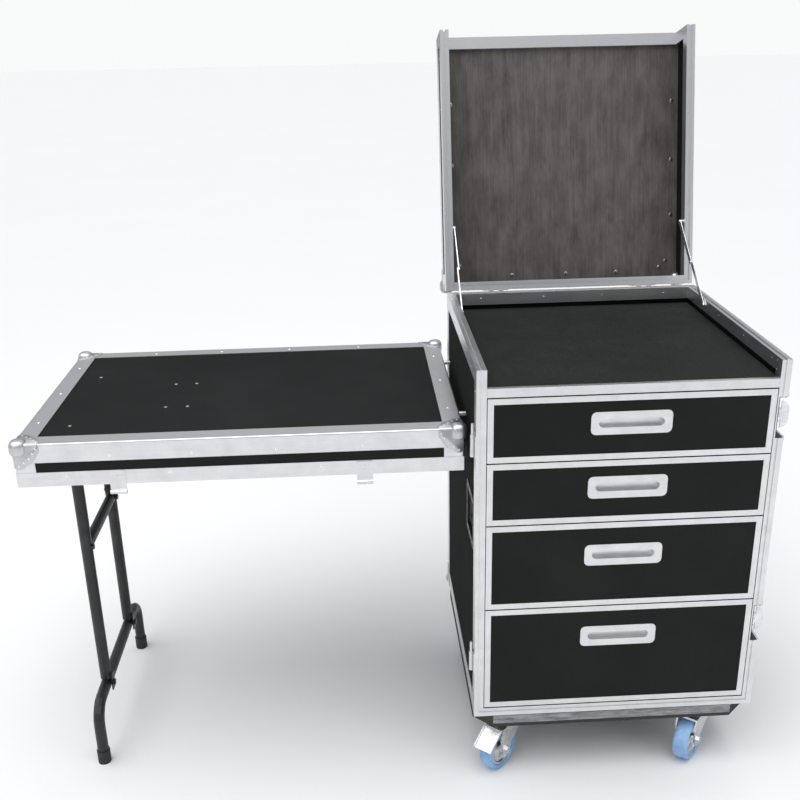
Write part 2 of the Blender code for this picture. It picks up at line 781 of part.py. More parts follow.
def build_handle(side, name):
    def across(size, low, high):
        return block(
            (side_x(side, low), HANDLE_Y - size[0] / 2, HANDLE_Z - size[1] / 2),
            (side_x(side, high), HANDLE_Y + size[0] / 2, HANDLE_Z + size[1] / 2),
        )

    ends = sorted((side_x(side, 0), side_x(side, ALU_T)))
    flange = plate(rounded((HANDLE_Y, HANDLE_Z), HANDLE_FLANGE, HANDLE_ROUND), ends[0], ends[1], "yzx")
    inside = (HANDLE_CUP[0] - 2 * CUP_T, HANDLE_CUP[1] - 2 * CUP_T)
    cup = across(HANDLE_CUP, ALU_T / 2, HANDLE_DEPTH)
    pocket = across(inside, -0.01, HANDLE_DEPTH - CUP_T)
    piece(f"handle_dish_{name}", flange, BLACK_STEEL, add=[cup], cut=[pocket])

    x, top, low = side_x(side, GRIP_IN), HANDLE_Z + GRIP_TOP, HANDLE_Z - GRIP_LOW
    end = inside[0] / 2 - GAP
    route = bent(
        [
            (x, HANDLE_Y - end, top), (x, HANDLE_Y - GRIP_ARM, top), (x, HANDLE_Y - GRIP_ARM, low),
            (x, HANDLE_Y + GRIP_ARM, low), (x, HANDLE_Y + GRIP_ARM, top), (x, HANDLE_Y + end, top),
        ],
        GRIP_BEND,
        3,
    )
    swing = pivot(f"handle_{name}_swing", (x, HANDLE_Y, top), under=FRAME)
    grip = rod((x, HANDLE_Y - GRIP_HALF, low), (x, HANDLE_Y + GRIP_HALF, low), GRIP_R, 14)
    piece(f"handle_grip_{name}", tube(route, GRIP_ROD_R, 2), RUBBER, add=[grip], under=swing)


def build_latch(number, height):
    def at(depth):
        return side_x(1, depth)

    flange = block(
        (at(-GAP), GAP, height - DISH_HALF - LIP),
        (at(-GAP - ALU_T), DISH_BACK + LIP, height + DISH_HALF + LIP),
    )
    dish = block(
        (at(-GAP - ALU_T / 2), GAP, height - DISH_HALF),
        (at(DISH_DEPTH), DISH_BACK, height + DISH_HALF),
    )
    pocket = block(
        (at(-0.01), -0.01, height - DISH_HALF + DISH_T),
        (at(DISH_DEPTH - DISH_T), DISH_BACK - DISH_T, height + DISH_HALF - DISH_T),
    )
    piece(f"latch_{number}_dish", flange, STEEL, add=[dish], cut=[pocket])

    floor = DISH_DEPTH - DISH_T - GAP
    turn = pivot(f"latch_{number}_turn", (at(floor), LATCH_Y, height), under=FRAME)
    disc = rod((at(floor), LATCH_Y, height), (at(floor - ROTOR_T), LATCH_Y, height), ROTOR_R, 20)
    ear_in = WING_NECK + 0.0010
    ears = [
        block(
            (at(floor - ROTOR_T + 0.0005), LATCH_Y - 0.0028, height + sign * ear_in),
            (at(WING_IN - 0.0028), LATCH_Y + 0.0028, height + sign * (ear_in + 0.002)),
        )
        for sign in (-1, 1)
    ]
    piece(f"latch_{number}_rotor", disc, STEEL, add=ears, under=turn)

    flip = pivot(f"latch_{number}_flip", (at(WING_IN), LATCH_Y, height), under=turn)
    barrel_half = ear_in - GAP
    base, tip = WING_IN - 0.0042, WING_IN - WING_LONG
    half, neck, round_r = WING_HALF, WING_NECK, WING_ROUND
    marks = [(at(WING_IN), -neck), (at(WING_IN), neck), (at(base), neck), (at(base), half - 0.002)]
    marks += arc((at(tip + round_r), half - round_r), round_r, 90, 0, 5)
    marks += arc((at(tip + round_r), round_r - half), round_r, 0, -90, 5)
    marks += [(at(base), 0.002 - half), (at(base), -neck)]
    outline = [(x, height + z) for x, z in marks]
    wing = plate(outline, LATCH_Y - WING_T / 2, LATCH_Y + WING_T / 2, "xzy")
    ends = [(at(WING_IN), LATCH_Y, height + sign * barrel_half) for sign in (-1, 1)]
    barrel = rod(*ends, WING_BARREL_R, 10)
    piece(f"latch_{number}_wing", wing, STEEL, add=[barrel], under=flip)


def lid_pose():
    return pivot("lid_hinge", (CASE_W / 2, HINGE_Y, HINGE_Z), (-LID_SWING, 0, 0), under=FRAME)


def opened(y, z):
    # Where a point of the closed lid lies when the lid rests open
    dy, dz = y - HINGE_Y, z - HINGE_Z
    c, s = math.cos(LID_SWING), math.sin(LID_SWING)
    return HINGE_Y + dy * c + dz * s, HINGE_Z - dy * s + dz * c


def build_lid():
    lid = lid_pose()
    low, back = LID_Z + HEAD_T + GAP, CASE_D - SKIN
    slab = block((SKIN, HEAD_T + GAP, low), (CASE_W - SKIN, back, LID_TOP - SKIN))
    hollow = block(
        (SKIN + PANEL_T, -0.05, LID_Z - 0.05),
        (CASE_W - SKIN - PANEL_T, back - PANEL_T, LID_TOP - SKIN - PANEL_T),
    )
    piece("lid_shell", slab, WOOD, cut=[hollow], under=lid)
    leaves, bores = lid_hinge_lid()
    piece("lid_rim", closing_loop(LID_Z, LID_TOP, tongue=False), ALUMINIUM, add=leaves, cut=bores, under=lid)
    low, high = LID_Z + CLOSING_LEG + GAP, LID_TOP - ANGLE_LEG - GAP
    corners = [
        upright_angle((0, CASE_D), X, -Y, low, high),
        upright_angle((CASE_W, CASE_D), -X, -Y, low, high),
    ]
    corners += ball_corner((0, CASE_D, LID_TOP), (-1, 1, 1))
    corners += ball_corner((CASE_W, CASE_D, LID_TOP), (1, 1, 1))
    inside = inner_space(LID_Z, LID_TOP - ALU_T - GAP / 2)
    piece("lid_angles", angle_run(LID_TOP, -Z), ALUMINIUM, add=corners, cut=[inside], under=lid)


def build_stay(side, name):
    low = (STAY_BODY[0], TOP - STAY_BODY[1])
    high = opened(CASE_D - STAY_LID[0], LID_Z + STAY_LID[1])
    knee = ((low[0] + high[0]) / 2, (low[1] + high[1]) / 2)
    near, far = STAY_IN, STAY_IN + STAY_STEP

    def bolt(at, start, end, radius):
        return rod((side_x(side, start), *at), (side_x(side, end), *at), radius, 12)

    for kind, foot, tip, depth in (("lower", low, knee, near), ("upper", high, knee, far)):
        ends = sorted((side_x(side, depth), side_x(side, depth + STAY_T)))
        bar = plate(link_outline(foot, tip, STAY_W), ends[0], ends[1], "yzx")
        bolts = [bolt(foot, FACE_W + GAP, depth + STAY_T + 0.0014, BOLT_R)]
        if kind == "upper":
            bolts.append(bolt(tip, near + STAY_T + GAP, depth + STAY_T + 0.0014, BOLT_R * 0.8))
        swing = pivot(f"stay_{kind}_{name}_swing", (side_x(side, depth), *foot), under=FRAME)
        piece(f"stay_{kind}_{name}", bar, STEEL, add=bolts, under=swing)


def castor_axes():
    # Front-left, front-right, rear-left, rear-right
    return [
        (side_x(side, CASTOR_IN[0]), y) for y in (CASTOR_IN[1], CASE_D - CASTOR_IN[1]) for side in (0, 1)
    ]


def build_board():
    low, high = BOARD_IN, CASE_W - BOARD_IN
    front, back = BOARD_IN + STRIP_T, CASE_D - BOARD_IN - STRIP_T
    c = BOARD_CHAMFER
    outline = [
        (low + c, front), (high - c, front), (high, front + c), (high, back - c),
        (high - c, back), (low + c, back), (low, back - c), (low, front + c),
    ]
    board = plate(outline, CASTOR_H, CASTOR_H + BOARD_T)
    plates = []
    for x, y in castor_axes():
        half_x, half_y = PLATE_SIZE[0] / 2, PLATE_SIZE[1] / 2
        low_corner = (x - half_x, y - half_y, CASTOR_H - PLATE_T)
        plates.append(block(low_corner, (x + half_x, y + half_y, CASTOR_H + 0.0005)))
    piece("castor_board", board, LAMINATE, add=plates)
    top = CASTOR_H + BOARD_T - STRIP_T
    strip = block((low + c, front - STRIP_T - GAP, top - STRIP_H), (high - c, front - GAP, top))
    piece("board_strip", strip, ALUMINIUM)


def wheel_mesh():
    # Half of the wheel's section, from the bore over the hub, the web and the tread, and back
    core = WHEEL_R - TREAD_T
    upper = [
        (BORE_R, HUB_HALF), (HUB_R, HUB_HALF), (HUB_R + 0.002, WHEEL_HALF - WEB_IN),
        (core - 0.002, WHEEL_HALF - WEB_IN), (core, WHEEL_HALF),
        (WHEEL_R - 0.003, WHEEL_HALF), (WHEEL_R, WHEEL_HALF - 0.005),
    ]
    section = upper + [(r, -z) for r, z in reversed(upper)]
    mesh = bpy.data.meshes.new("wheel")
    count = len(section)
    mesh.from_pydata([(r, 0, z) for r, z in section], [(i, (i + 1) % count) for i in range(count)], [])
    return mesh


def build_castor(number, at, turn, section):
    swivel = pivot(f"castor_{number}_swivel", (*at, 0), (0, 0, -math.radians(turn)), under=FRAME)
    axle = (-CASTOR_TRAIL, WHEEL_R)
    under_plate = CASTOR_H - PLATE_T - GAP
    outside, arm_top = ARM_IN + ARM_T, CROWN_Z + CROWN_T - 0.001
    crown = block((-outside, -FORK_BACK, CROWN_Z), (outside, FORK_FRONT, CROWN_Z + CROWN_T))
    arm = [(-FORK_BACK, arm_top), (FORK_FRONT - 0.008, arm_top), (FORK_FRONT - 0.012, CROWN_Z - 0.012)]
    arm += arc(axle, ARM_ROUND, 20, -140, 6)
    arm += [(-FORK_BACK - 0.006, CROWN_Z - 0.0215)]
    shapes = [rod((0, 0, CROWN_Z + 0.003), (0, 0, under_plate), RACE_R, 20)]
    for sign in (-1, 1):
        ends = sorted((sign * ARM_IN, sign * (ARM_IN + ARM_T)))
        shapes.append(plate(arm, ends[0], ends[1], "yzx"))
        shapes.append(rod((sign * (outside - 0.001), *axle), (sign * (outside + 0.005), *axle), 0.0085, 6))
    shapes.append(rod((-ARM_IN - 0.001, *axle), (ARM_IN + 0.001, *axle), AXLE_R, 12))
    piece(f"castor_{number}_fork", crown, STEEL, add=shapes, under=swivel, local=True)

    wheel = bpy.data.objects.new(f"castor_{number}_wheel", section)
    PARTS.objects.link(wheel)
    wheel.parent = swivel
    wheel.location = (0, *axle)
    wheel.rotation_euler = (0, math.pi / 2, 0)
    turned = wheel.modifiers.new("turned", "SCREW")
    turned.steps = WHEEL_STEPS
    turned.render_steps = WHEEL_STEPS
    turned.use_merge_vertices = True
    turned.merge_threshold = 0.00005
    return swivel


def build_pedal(swivel):
    # A brake pedal on the fork's rear edge, sloping down over the tread
    hinge = (-FORK_BACK - GAP - 0.0025, CROWN_Z + 0.0027)
    lean = pivot("brake_pedal_press", (0, *hinge), (PEDAL_TILT, 0, 0))
    lean.parent = swivel
    tread = block((-PEDAL_HALF, -PEDAL_LONG, -0.001), (PEDAL_HALF, -0.001, 0.001))
    barrel = rod((-ARM_IN, 0, 0), (ARM_IN, 0, 0), 0.0025, 10)
    lips = [
        block((sign * PEDAL_HALF, -PEDAL_LONG, -0.0008), (sign * (PEDAL_HALF - 0.0015), -0.006, 0.005))
        for sign in (-1, 1)
    ]
    piece("brake_pedal", tread, STEEL, add=[barrel] + lips, under=lean, local=True)


def cover_corners(z):
    return [
        (COVER_X, COVER_FRONT, z), (COVER_X, COVER_Y, z), (COVER_R, COVER_Y, z), (COVER_R, COVER_FRONT, z)
    ]


def lift_hinge_cover(low):
    # The upper half of a lift-off hinge, on the hung cover's near rim; low is its height with the case shut
    right = COVER_R - (low + LIFT_COVER_UP - BODY_Z)
    left = right - LIFT_COVER_LONG
    y, z = COVER_FRONT - LIFT_OUT, RIM_Z - LIFT_BACK
    leaf = block(
        (left, COVER_FRONT - LEAF_T - GAP, RIM_Z + 0.0005),
        (right, COVER_FRONT + LEAF_SINK, RIM_Z + 0.0285),
    )
    arm = block((left, COVER_FRONT - LEAF_T - GAP, z), (right, COVER_FRONT - 0.0006, RIM_Z + 0.002))
    knuckle = rod((left, y, z), (right, y, z), LIFT_R, 14)
    bore = rod((left - 0.01, y, z), (right + 0.01, y, z), LIFT_BORE_R, 12)
    return [leaf, arm, knuckle], bore


def latch_keeper(height):
    # A catch on the hung cover's far rim, opposite a latch when the case is closed
    middle = COVER_R - (height - BODY_Z)
    leaf = block(
        (middle - 0.022, COVER_Y - LEAF_SINK, RIM_Z + 0.004),
        (middle + 0.022, COVER_Y + LEAF_T, RIM_Z + 0.027),
    )
    catch = block(
        (middle - 0.008, COVER_Y + 0.001, RIM_Z + 0.010),
        (middle + 0.008, COVER_Y + 0.006, RIM_Z + 0.015),
    )
    return [leaf, catch]


def build_cover(cover):
    slab = block(
        (COVER_X + SKIN, COVER_FRONT + SKIN, RIM_Z + HEAD_T + GAP),
        (COVER_R - SKIN, COVER_Y - SKIN, TABLE_TOP - SKIN),
    )
    inset = SKIN + PANEL_T
    hollow = block(
        (COVER_X + inset, COVER_FRONT + inset, RIM_Z - 0.05),
        (COVER_R - inset, COVER_Y - inset, UNDER_PANEL),
    )
    piece("cover_shell", slab, LAMINATE, cut=[hollow], under=cover)

    inward = [X, -Y, -X, Y]
    halves = [lift_hinge_cover(low) for low in LIFT_HEIGHTS]
    adds = [shape for leaf, bore in halves for shape in leaf]
    adds += [shape for height in LATCH_HEIGHTS for shape in latch_keeper(height)]
    rim = sweep(closing_profile(tongue=False), cover_corners(RIM_Z), inward, [Z] * 4, closed=True)
    piece("cover_rim", rim, ALUMINIUM, add=adds, cut=[bore for leaf, bore in halves], under=cover)

    low, high = RIM_Z + CLOSING_LEG + GAP, TABLE_TOP - ANGLE_LEG - GAP
    adds = []
    for x, facing in ((COVER_X, X), (COVER_R, -X)):
        for y, depth in ((COVER_FRONT, Y), (COVER_Y, -Y)):
            adds.append(upright_angle((x, y), facing, depth, low, high))
            adds += ball_corner((x, y, TABLE_TOP), (-facing.x, -depth.y, 1))
    adds += [pin_route(y, COVER_R - 0.001, PIN_REACH, PIN_R) for y in PIN_YS]
    angles = sweep(angle_profile(), cover_corners(TABLE_TOP), inward, [-Z] * 4, closed=True)
    inset = ALU_T + GAP / 2
    inside = block(
        (COVER_X + inset, COVER_FRONT + inset, RIM_Z), (COVER_R - inset, COVER_Y - inset, TABLE_TOP - inset)
    )
    piece("cover_angles", angles, ALUMINIUM, add=adds, cut=[inside], under=cover)


def build_leg(cover):
    near, far = LEG_MID - LEG_HALF, LEG_MID + LEG_HALF
    ears = [near - TUBE_R - EAR_PLAY - EAR_T, far + TUBE_R + EAR_PLAY]
    plate_low = UNDER_PANEL - GAP - EAR_T
    base = block((LEG_X - 0.022, ears[0], plate_low), (LEG_X + 0.022, ears[1] + EAR_T, UNDER_PANEL - GAP))
    ear_outline = [(LEG_X + 0.014, plate_low + 0.001)]
    ear_outline += arc((LEG_X, LEG_Z), 0.012, 0, -180, 8)
    ear_outline += [(LEG_X - 0.014, plate_low + 0.001)]
    shapes = [plate(ear_outline, y, y + EAR_T, "xzy") for y in ears]
    bores = [
        rod((LEG_X, ears[0] - 0.01, LEG_Z), (LEG_X, ears[0] + 0.01, LEG_Z), AXLE_BAR_R + GAP, 12),
        rod((LEG_X, ears[1] - 0.006, LEG_Z), (LEG_X, ears[1] + 0.01, LEG_Z), AXLE_BAR_R + GAP, 12),
    ]
    piece("leg_bracket", base, BLACK_STEEL, add=shapes, cut=bores, under=cover)

    fold = pivot("leg_fold", (LEG_X, LEG_MID, LEG_Z), under=cover)
    shapes = [rod((LEG_X, ears[0] - 0.001, LEG_Z), (LEG_X, ears[1] + EAR_T + 0.001, LEG_Z), AXLE_BAR_R, 12)]
    shapes.append(rod((LEG_X, near, CROSSBAR_Z), (LEG_X, far, CROSSBAR_Z), TUBE_R - 0.0005, TUBE_SIDES))
    foot_top = YOKE_Z + TUBE_R + GAP
    side, tongue = LEG_X + TUBE_R, LEG_X + TUBE_R + GAP
    for y in (near, far):
        shapes.append(rod((side - 0.002, y, CROSSBAR_Z), (side + 0.004, y, CROSSBAR_Z), LEG_BOLT_R, 6))
        low = (tongue, y - 0.011, YOKE_Z - 0.016)
        shapes.append(block(low, (tongue + EAR_T, y + 0.011, foot_top + 0.012)))
        low = (LEG_X + 0.004, y - 0.009, foot_top + 0.003)
        shapes.append(block(low, (tongue + 0.001, y + 0.009, foot_top + 0.011)))
        ends = (tongue + 0.002, y, YOKE_Z), (tongue + EAR_T + 0.004, y, YOKE_Z)
        shapes.append(rod(*ends, LEG_BOLT_R, 6))
    uprights = [
        rod((LEG_X, y, LEG_Z + TUBE_R), (LEG_X, y, foot_top), TUBE_R, TUBE_SIDES) for y in (near, far)
    ]
    shapes.append(uprights.pop())
    piece("leg_frame", uprights[0], BLACK_STEEL, add=shapes, under=fold)

    left, right = LEG_MID - YOKE_HALF, LEG_MID + YOKE_HALF
    corners = [(LEG_X, left, 0.004), (LEG_X, left, YOKE_Z), (LEG_X, right, YOKE_Z), (LEG_X, right, 0.004)]
    route = bent(corners, YOKE_BEND, 5)
    tips = [rod((LEG_X, y, 0), (LEG_X, y, FOOT_LONG), FOOT_R, TUBE_SIDES) for y in (left, right)]
    piece("leg_foot", tube(route, TUBE_R, 4), BLACK_STEEL, add=tips, under=fold)
    return fold


def brace_points():
    # The leg's bolt, the knee and the plate's pivot, in line when the leg stands; the two lengths differ so
    # that both bars lie flat beside the leg when it folds
    bolt = (LEG_X, CROSSBAR_Z + BRACE_UP)
    plate_at = (COVER_X + BRACE_FROM_END, TABLE_TOP - BRACE_DROP)
    span = math.dist(bolt, plate_at)
    folded = (LEG_X + (LEG_Z - bolt[1]), LEG_Z)
    differ = math.dist(folded, plate_at) * 0.94
    strut = (span + differ) / 2
    share = strut / span
    knee = (bolt[0] + (plate_at[0] - bolt[0]) * share, bolt[1] + (plate_at[1] - bolt[1]) * share)
    return bolt, knee, plate_at


def build_brace(cover, fold):
    foot, knee, plate_at = brace_points()
    upright_face = LEG_MID + LEG_HALF - TUBE_R
    strut_y = upright_face - BRACE_APART - BRACE_T
    link_y = strut_y - BRACE_APART - BRACE_T
    tab_y = link_y - BRACE_APART - BRACE_T

    def bolt(at, start, end):
        return rod((at[0], start, at[1]), (at[0], end, at[1]), BRACE_HEAD_R, 12)

    swing = pivot("brace_strut_swing", (foot[0], strut_y, foot[1]), under=fold)
    bar = plate(link_outline(foot, knee, BRACE_W), strut_y, strut_y + BRACE_T, "xzy")
    head = bolt(foot, strut_y - BRACE_HEAD_H, upright_face - GAP)
    piece("brace_strut", bar, BLACK_STEEL, add=[head], under=swing)

    swing = pivot("brace_link_swing", (plate_at[0], link_y, plate_at[1]), under=cover)
    bar = plate(link_outline(plate_at, knee, BRACE_W), link_y, link_y + BRACE_T, "xzy")
    rivets = [
        bolt(knee, link_y - BRACE_HEAD_H, strut_y - GAP),
        bolt(plate_at, tab_y + BRACE_T + GAP, strut_y - GAP),
    ]
    piece("brace_link", bar, BLACK_STEEL, add=rivets, under=swing)

    top = UNDER_PANEL - GAP
    half_x = BRACE_PLATE[0] / 2
    end = tab_y + BRACE_T
    low = (plate_at[0] - half_x, end - BRACE_PLATE[1], top - BRACE_T)
    flat = block(low, (plate_at[0] + half_x, end, top))
    tab_outline = [(plate_at[0] + 0.014, top - 0.001)]
    tab_outline += arc(plate_at, 0.010, 0, -180, 6)
    tab_outline += [(plate_at[0] - 0.014, top - 0.001)]
    tab = plate(tab_outline, tab_y, end, "xzy")
    nuts = []
    middle = end - BRACE_PLATE[1] / 2 - BOLT_GROUP_OFF
    for sign_x in (-1, 1):
        for sign_y in (-1, 1):
            x, y = plate_at[0] + sign_x * BOLT_GROUP[0], middle + sign_y * BOLT_GROUP[1]
            nuts.append(rod((x, y, top - BRACE_T - 0.004), (x, y, top - BRACE_T + 0.001), 0.006, 6))
    piece("brace_plate", flat, BLACK_STEEL, add=[tab] + nuts, under=cover)


def build_all():
    build_shell()
    build_body_metal()
    build_deck()
    build_runners()
    for number, (span, drop) in enumerate(zip(front_spans(), PULL_DROPS), 1):
        build_drawer(number, span, drop)
    for side, name in enumerate(("left", "right")):
        build_handle(side, name)
    for number, height in enumerate(LATCH_HEIGHTS, 1):
        build_latch(number, height)
    build_lid()
    for side, name in enumerate(("left", "right")):
        build_stay(side, name)
    build_board()
    section = wheel_mesh()
    section.materials.append(BLUE)
    swivels = [
        build_castor(number, at, turn, section)
        for number, (at, turn) in enumerate(zip(castor_axes(), CASTOR_TURN), 1)
    ]
    build_pedal(swivels[0])
    cover = pivot("cover_hang", (COVER_R, COVER_FRONT, TABLE_TOP), under=FRAME)
    build_cover(cover)
    fold = build_leg(cover)
    build_brace(cover, fold)


def footprint_middle():
    # The hung cover's far balls and the right latch wings bound the model in X, the brake pedal's tip and
    # the open lid's rear corner in Y
    left = COVER_X + BALL_IN - BALL_R
    right = CASE_W + WING_LONG - WING_IN
    back = opened(CASE_D, LID_TOP + PETAL_T)[0]
    lid_back = opened(BALL_IN, LID_TOP)[0]
    return (left + right) / 2, (max(back, lid_back) - PEDAL_AHEAD) / 2


build_all()
middle_x, middle_y = footprint_middle()
FRAME.location = (-middle_x, -middle_y, 0)
bpy.context.view_layer.update()
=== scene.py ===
# Tool flight case with its front cover hung as a side table: finishes, rivets and fittings
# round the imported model. Metres, +Z up, in the frame of the CAD.
import json
import math

import bmesh
import bpy
from mathutils import Matrix, Vector


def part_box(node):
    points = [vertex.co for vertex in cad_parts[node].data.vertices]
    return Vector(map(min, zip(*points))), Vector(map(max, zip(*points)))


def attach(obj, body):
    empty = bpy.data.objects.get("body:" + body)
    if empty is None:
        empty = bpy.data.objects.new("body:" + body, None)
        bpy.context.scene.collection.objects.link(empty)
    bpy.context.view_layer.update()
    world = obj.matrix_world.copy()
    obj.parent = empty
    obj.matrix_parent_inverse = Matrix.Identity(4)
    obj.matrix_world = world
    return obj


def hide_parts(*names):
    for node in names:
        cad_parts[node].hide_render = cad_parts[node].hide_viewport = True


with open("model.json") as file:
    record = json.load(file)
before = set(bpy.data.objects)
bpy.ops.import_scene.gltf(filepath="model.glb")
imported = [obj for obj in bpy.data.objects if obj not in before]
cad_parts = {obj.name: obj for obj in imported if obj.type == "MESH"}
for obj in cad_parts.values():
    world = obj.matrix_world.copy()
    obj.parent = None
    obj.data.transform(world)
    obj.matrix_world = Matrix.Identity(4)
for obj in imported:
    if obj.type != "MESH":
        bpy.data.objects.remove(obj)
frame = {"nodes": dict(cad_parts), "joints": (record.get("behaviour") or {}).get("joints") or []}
cadNodes = frame["nodes"]
joints = {joint["name"]: joint for joint in frame["joints"]}
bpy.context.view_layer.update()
print("frame loaded,", len(cadNodes), "nodes")


# The case frame: its front-left floor corner, X right, Y back, as the sizes below use it
case = {
    "wide": 0.600,
    "deep": 0.600,
    "skin": 0.0018,        # from the outer faces to the panels
    "panel": 0.009,
    "bodyLow": 0.155,
    "wallTop": 0.933,
    "lidRim": 0.9336,
    "lidTop": 1.0386,
    "lidSwing": 102.9,
    "tableTop": 0.791,
    "tableRim": 0.7005,
    "tableLeft": -0.8986,
    "tableRight": -0.015,
    "tableFront": 0.072,
    "tableBack": 0.672,
}
sideLow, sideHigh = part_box("side_panel_left")
caseCorner = Vector((sideLow.x - case["skin"], sideHigh.y + case["skin"] - case["deep"], 0))
lidHinge = Vector(joints["lid_hinge"]["pos_m"])
lidOpen = (
    Matrix.Translation(lidHinge)
    @ Matrix.Rotation(-math.radians(case["lidSwing"]), 4, "X")
    @ Matrix.Translation(-lidHinge)
)


def onCase(x, y, z):
    return caseCorner + Vector((x, y, z))


def caseWay(x, y, z):
    return Vector((x, y, z))


def onLid(x, y, z):  # a point of the shut lid, where it lies when the lid stands open
    return lidOpen @ onCase(x, y, z)


def lidWay(x, y, z):
    return lidOpen.to_3x3() @ Vector((x, y, z))


# Camera, worked out from the photo's lines
cameraPlace = {
    "at": (-0.0763, -2.2518, 1.5417),
    "yaw": 0.0451,
    "pitch": -0.3858,
    "roll": -0.0213,
    "focal": 1042.1,              # in the photo's pixels
    "centre": (402.85, 442.58),
    "picture": 800,
    "sensor": 36.0,
}


def setCamera(place):
    yaw, pitch, roll = place["yaw"], place["pitch"], place["roll"]
    flatReach = math.cos(pitch)
    ahead = Vector((math.sin(yaw) * flatReach, math.cos(yaw) * flatReach, math.sin(pitch)))
    flat = Vector((math.cos(yaw), -math.sin(yaw), 0))
    upright = flat.cross(ahead)
    right = flat * math.cos(roll) + upright * math.sin(roll)
    up = upright * math.cos(roll) - flat * math.sin(roll)
    lens = bpy.data.cameras.new("photoCamera")
    lens.sensor_width = place["sensor"]
    lens.lens = place["focal"] / place["picture"] * place["sensor"]
    lens.shift_x = (place["picture"] / 2 - place["centre"][0]) / place["picture"]
    lens.shift_y = (place["centre"][1] - place["picture"] / 2) / place["picture"]
    camera = bpy.data.objects.new("photoCamera", lens)
    turn = Matrix((right, up, -ahead)).transposed().to_4x4()
    camera.matrix_world = Matrix.Translation(place["at"]) @ turn
    bpy.context.scene.collection.objects.link(camera)
    bpy.context.scene.camera = camera


setCamera(cameraPlace)
bpy.context.scene.view_settings.view_transform = "Standard"
print("camera set")


# Node helpers: every finish reads the object's own coordinates, in metres
def addNode(tree, kind, inputs=None, **settings):
    made = tree.nodes.new(kind)
    for key, value in settings.items():
        setattr(made, key, value)
    for socket, value in (inputs or {}).items():
        if isinstance(value, bpy.types.NodeSocket):
            tree.links.new(value, made.inputs[socket])
        else:
            made.inputs[socket].default_value = value
    return made


def coordinates(tree, scale=(1, 1, 1), turn=(0, 0, 0), shift=(0, 0, 0)):
    found = addNode(tree, "ShaderNodeTexCoord").outputs["Object"]
    moved = {"Vector": found, "Rotation": turn, "Location": shift}
    turned = addNode(tree, "ShaderNodeMapping", moved).outputs["Vector"]
    return addNode(tree, "ShaderNodeMapping", {"Vector": turned, "Scale": scale}).outputs["Vector"]


def noise(tree, vector, size=1.0, detail=3.0, roughness=0.5):
    inputs = {"Vector": vector, "Scale": 1 / size, "Detail": detail, "Roughness": roughness}
    return addNode(tree, "ShaderNodeTexNoise", inputs).outputs["Fac"]


def sums(tree, operation, first, second):
    return addNode(tree, "ShaderNodeMath", {0: first, 1: second}, operation=operation).outputs[0]


def remap(tree, value, low, high, start, end):
    # low where the value is start, high where it is end
    inputs = {"Value": value, "From Min": start, "From Max": end, "To Min": low, "To Max": high}
    return addNode(tree, "ShaderNodeMapRange", inputs).outputs["Result"]


def uneven(tree, value, span):
    # Noise keeps to its middle, so that part of it covers the span
    return remap(tree, value, *span, 0.3, 0.7)


def share(tree, value, start, end):
    return remap(tree, value, 0.0, 1.0, start, end)


def times(tree, value, factor):
    return sums(tree, "MULTIPLY", value, factor)


def mixColours(tree, part, first, second):
    # A Mix node's factor and its two colours are sockets 0, 6 and 7, its mixed colour output 2
    mixer = addNode(tree, "ShaderNodeMix", data_type="RGBA")
    for index, value in ((0, part), (6, first), (7, second)):
        if isinstance(value, bpy.types.NodeSocket):
            tree.links.new(value, mixer.inputs[index])
        else:
            mixer.inputs[index].default_value = value if index == 0 else (*value, 1.0)
    return mixer.outputs[2]


def axes(tree, vector):
    return addNode(tree, "ShaderNodeSeparateXYZ", {"Vector": vector}).outputs


def between(tree, value, low, high):
    above = sums(tree, "GREATER_THAN", value, low)
    below = sums(tree, "LESS_THAN", value, high)
    return times(tree, above, below)


def awayFrom(tree, value, middle):
    return sums(tree, "ABSOLUTE", sums(tree, "SUBTRACT", value, middle), 0.0)


def mitred(tree, low, high, first, second):
    # 1 on the runs across the first axis of a mitred loop, 0 on the runs across the second
    found = axes(tree, coordinates(tree))
    nearness = []
    for axis in (first, second):
        k = "XYZ".index(axis)
        offset = awayFrom(tree, found[axis], (low[k] + high[k]) / 2)
        nearness.append(sums(tree, "SUBTRACT", (high[k] - low[k]) / 2, offset))
    return sums(tree, "LESS_THAN", nearness[0], nearness[1])


# Recipes: each gives the colour, roughness, metal and height (metres) that a finish mixes
laminate = {
    "deep": (0.0078, 0.0082, 0.0082),
    "haze": (0.0200, 0.0208, 0.0206),
    "hazeFrom": (0.22, 0.62),
    "cloudSize": 0.22,
    "dustSize": 0.0012,
    "rubbedStretch": (1.5, 1.5, 30),
    "rubbedSize": 0.5,
    "gloss": (0.15, 0.28),
    "glossFrom": (0.7, 1.35),
    "facing": 0.5,
    "slant": (0.35, 0.80),     # seen this far from straight on, its fine texture dulls the gloss
    "peel": 0.000012,
    "peelSize": 0.006,
    "specular": 0.12,
}


def laminateRecipe(tree):
    spot = coordinates(tree)
    cloud = noise(tree, spot, laminate["cloudSize"], 4, 0.6)
    dust = noise(tree, spot, laminate["dustSize"], 2, 0.6)
    rubbed = noise(tree, coordinates(tree, laminate["rubbedStretch"]), laminate["rubbedSize"], 5, 0.7)
    dusty = share(tree, times(tree, dust, cloud), *laminate["hazeFrom"])
    gloss = remap(tree, sums(tree, "ADD", cloud, rubbed), *laminate["gloss"], *laminate["glossFrom"])
    facing = addNode(tree, "ShaderNodeLayerWeight", {"Blend": laminate["facing"]}).outputs["Facing"]
    return {
        "colour": mixColours(tree, dusty, laminate["deep"], laminate["haze"]),
        "rough": sums(tree, "MAXIMUM", gloss, share(tree, facing, *laminate["slant"])),
        "metal": 0.0,
        "height": times(tree, noise(tree, spot, laminate["peelSize"], 2), laminate["peel"]),
    }


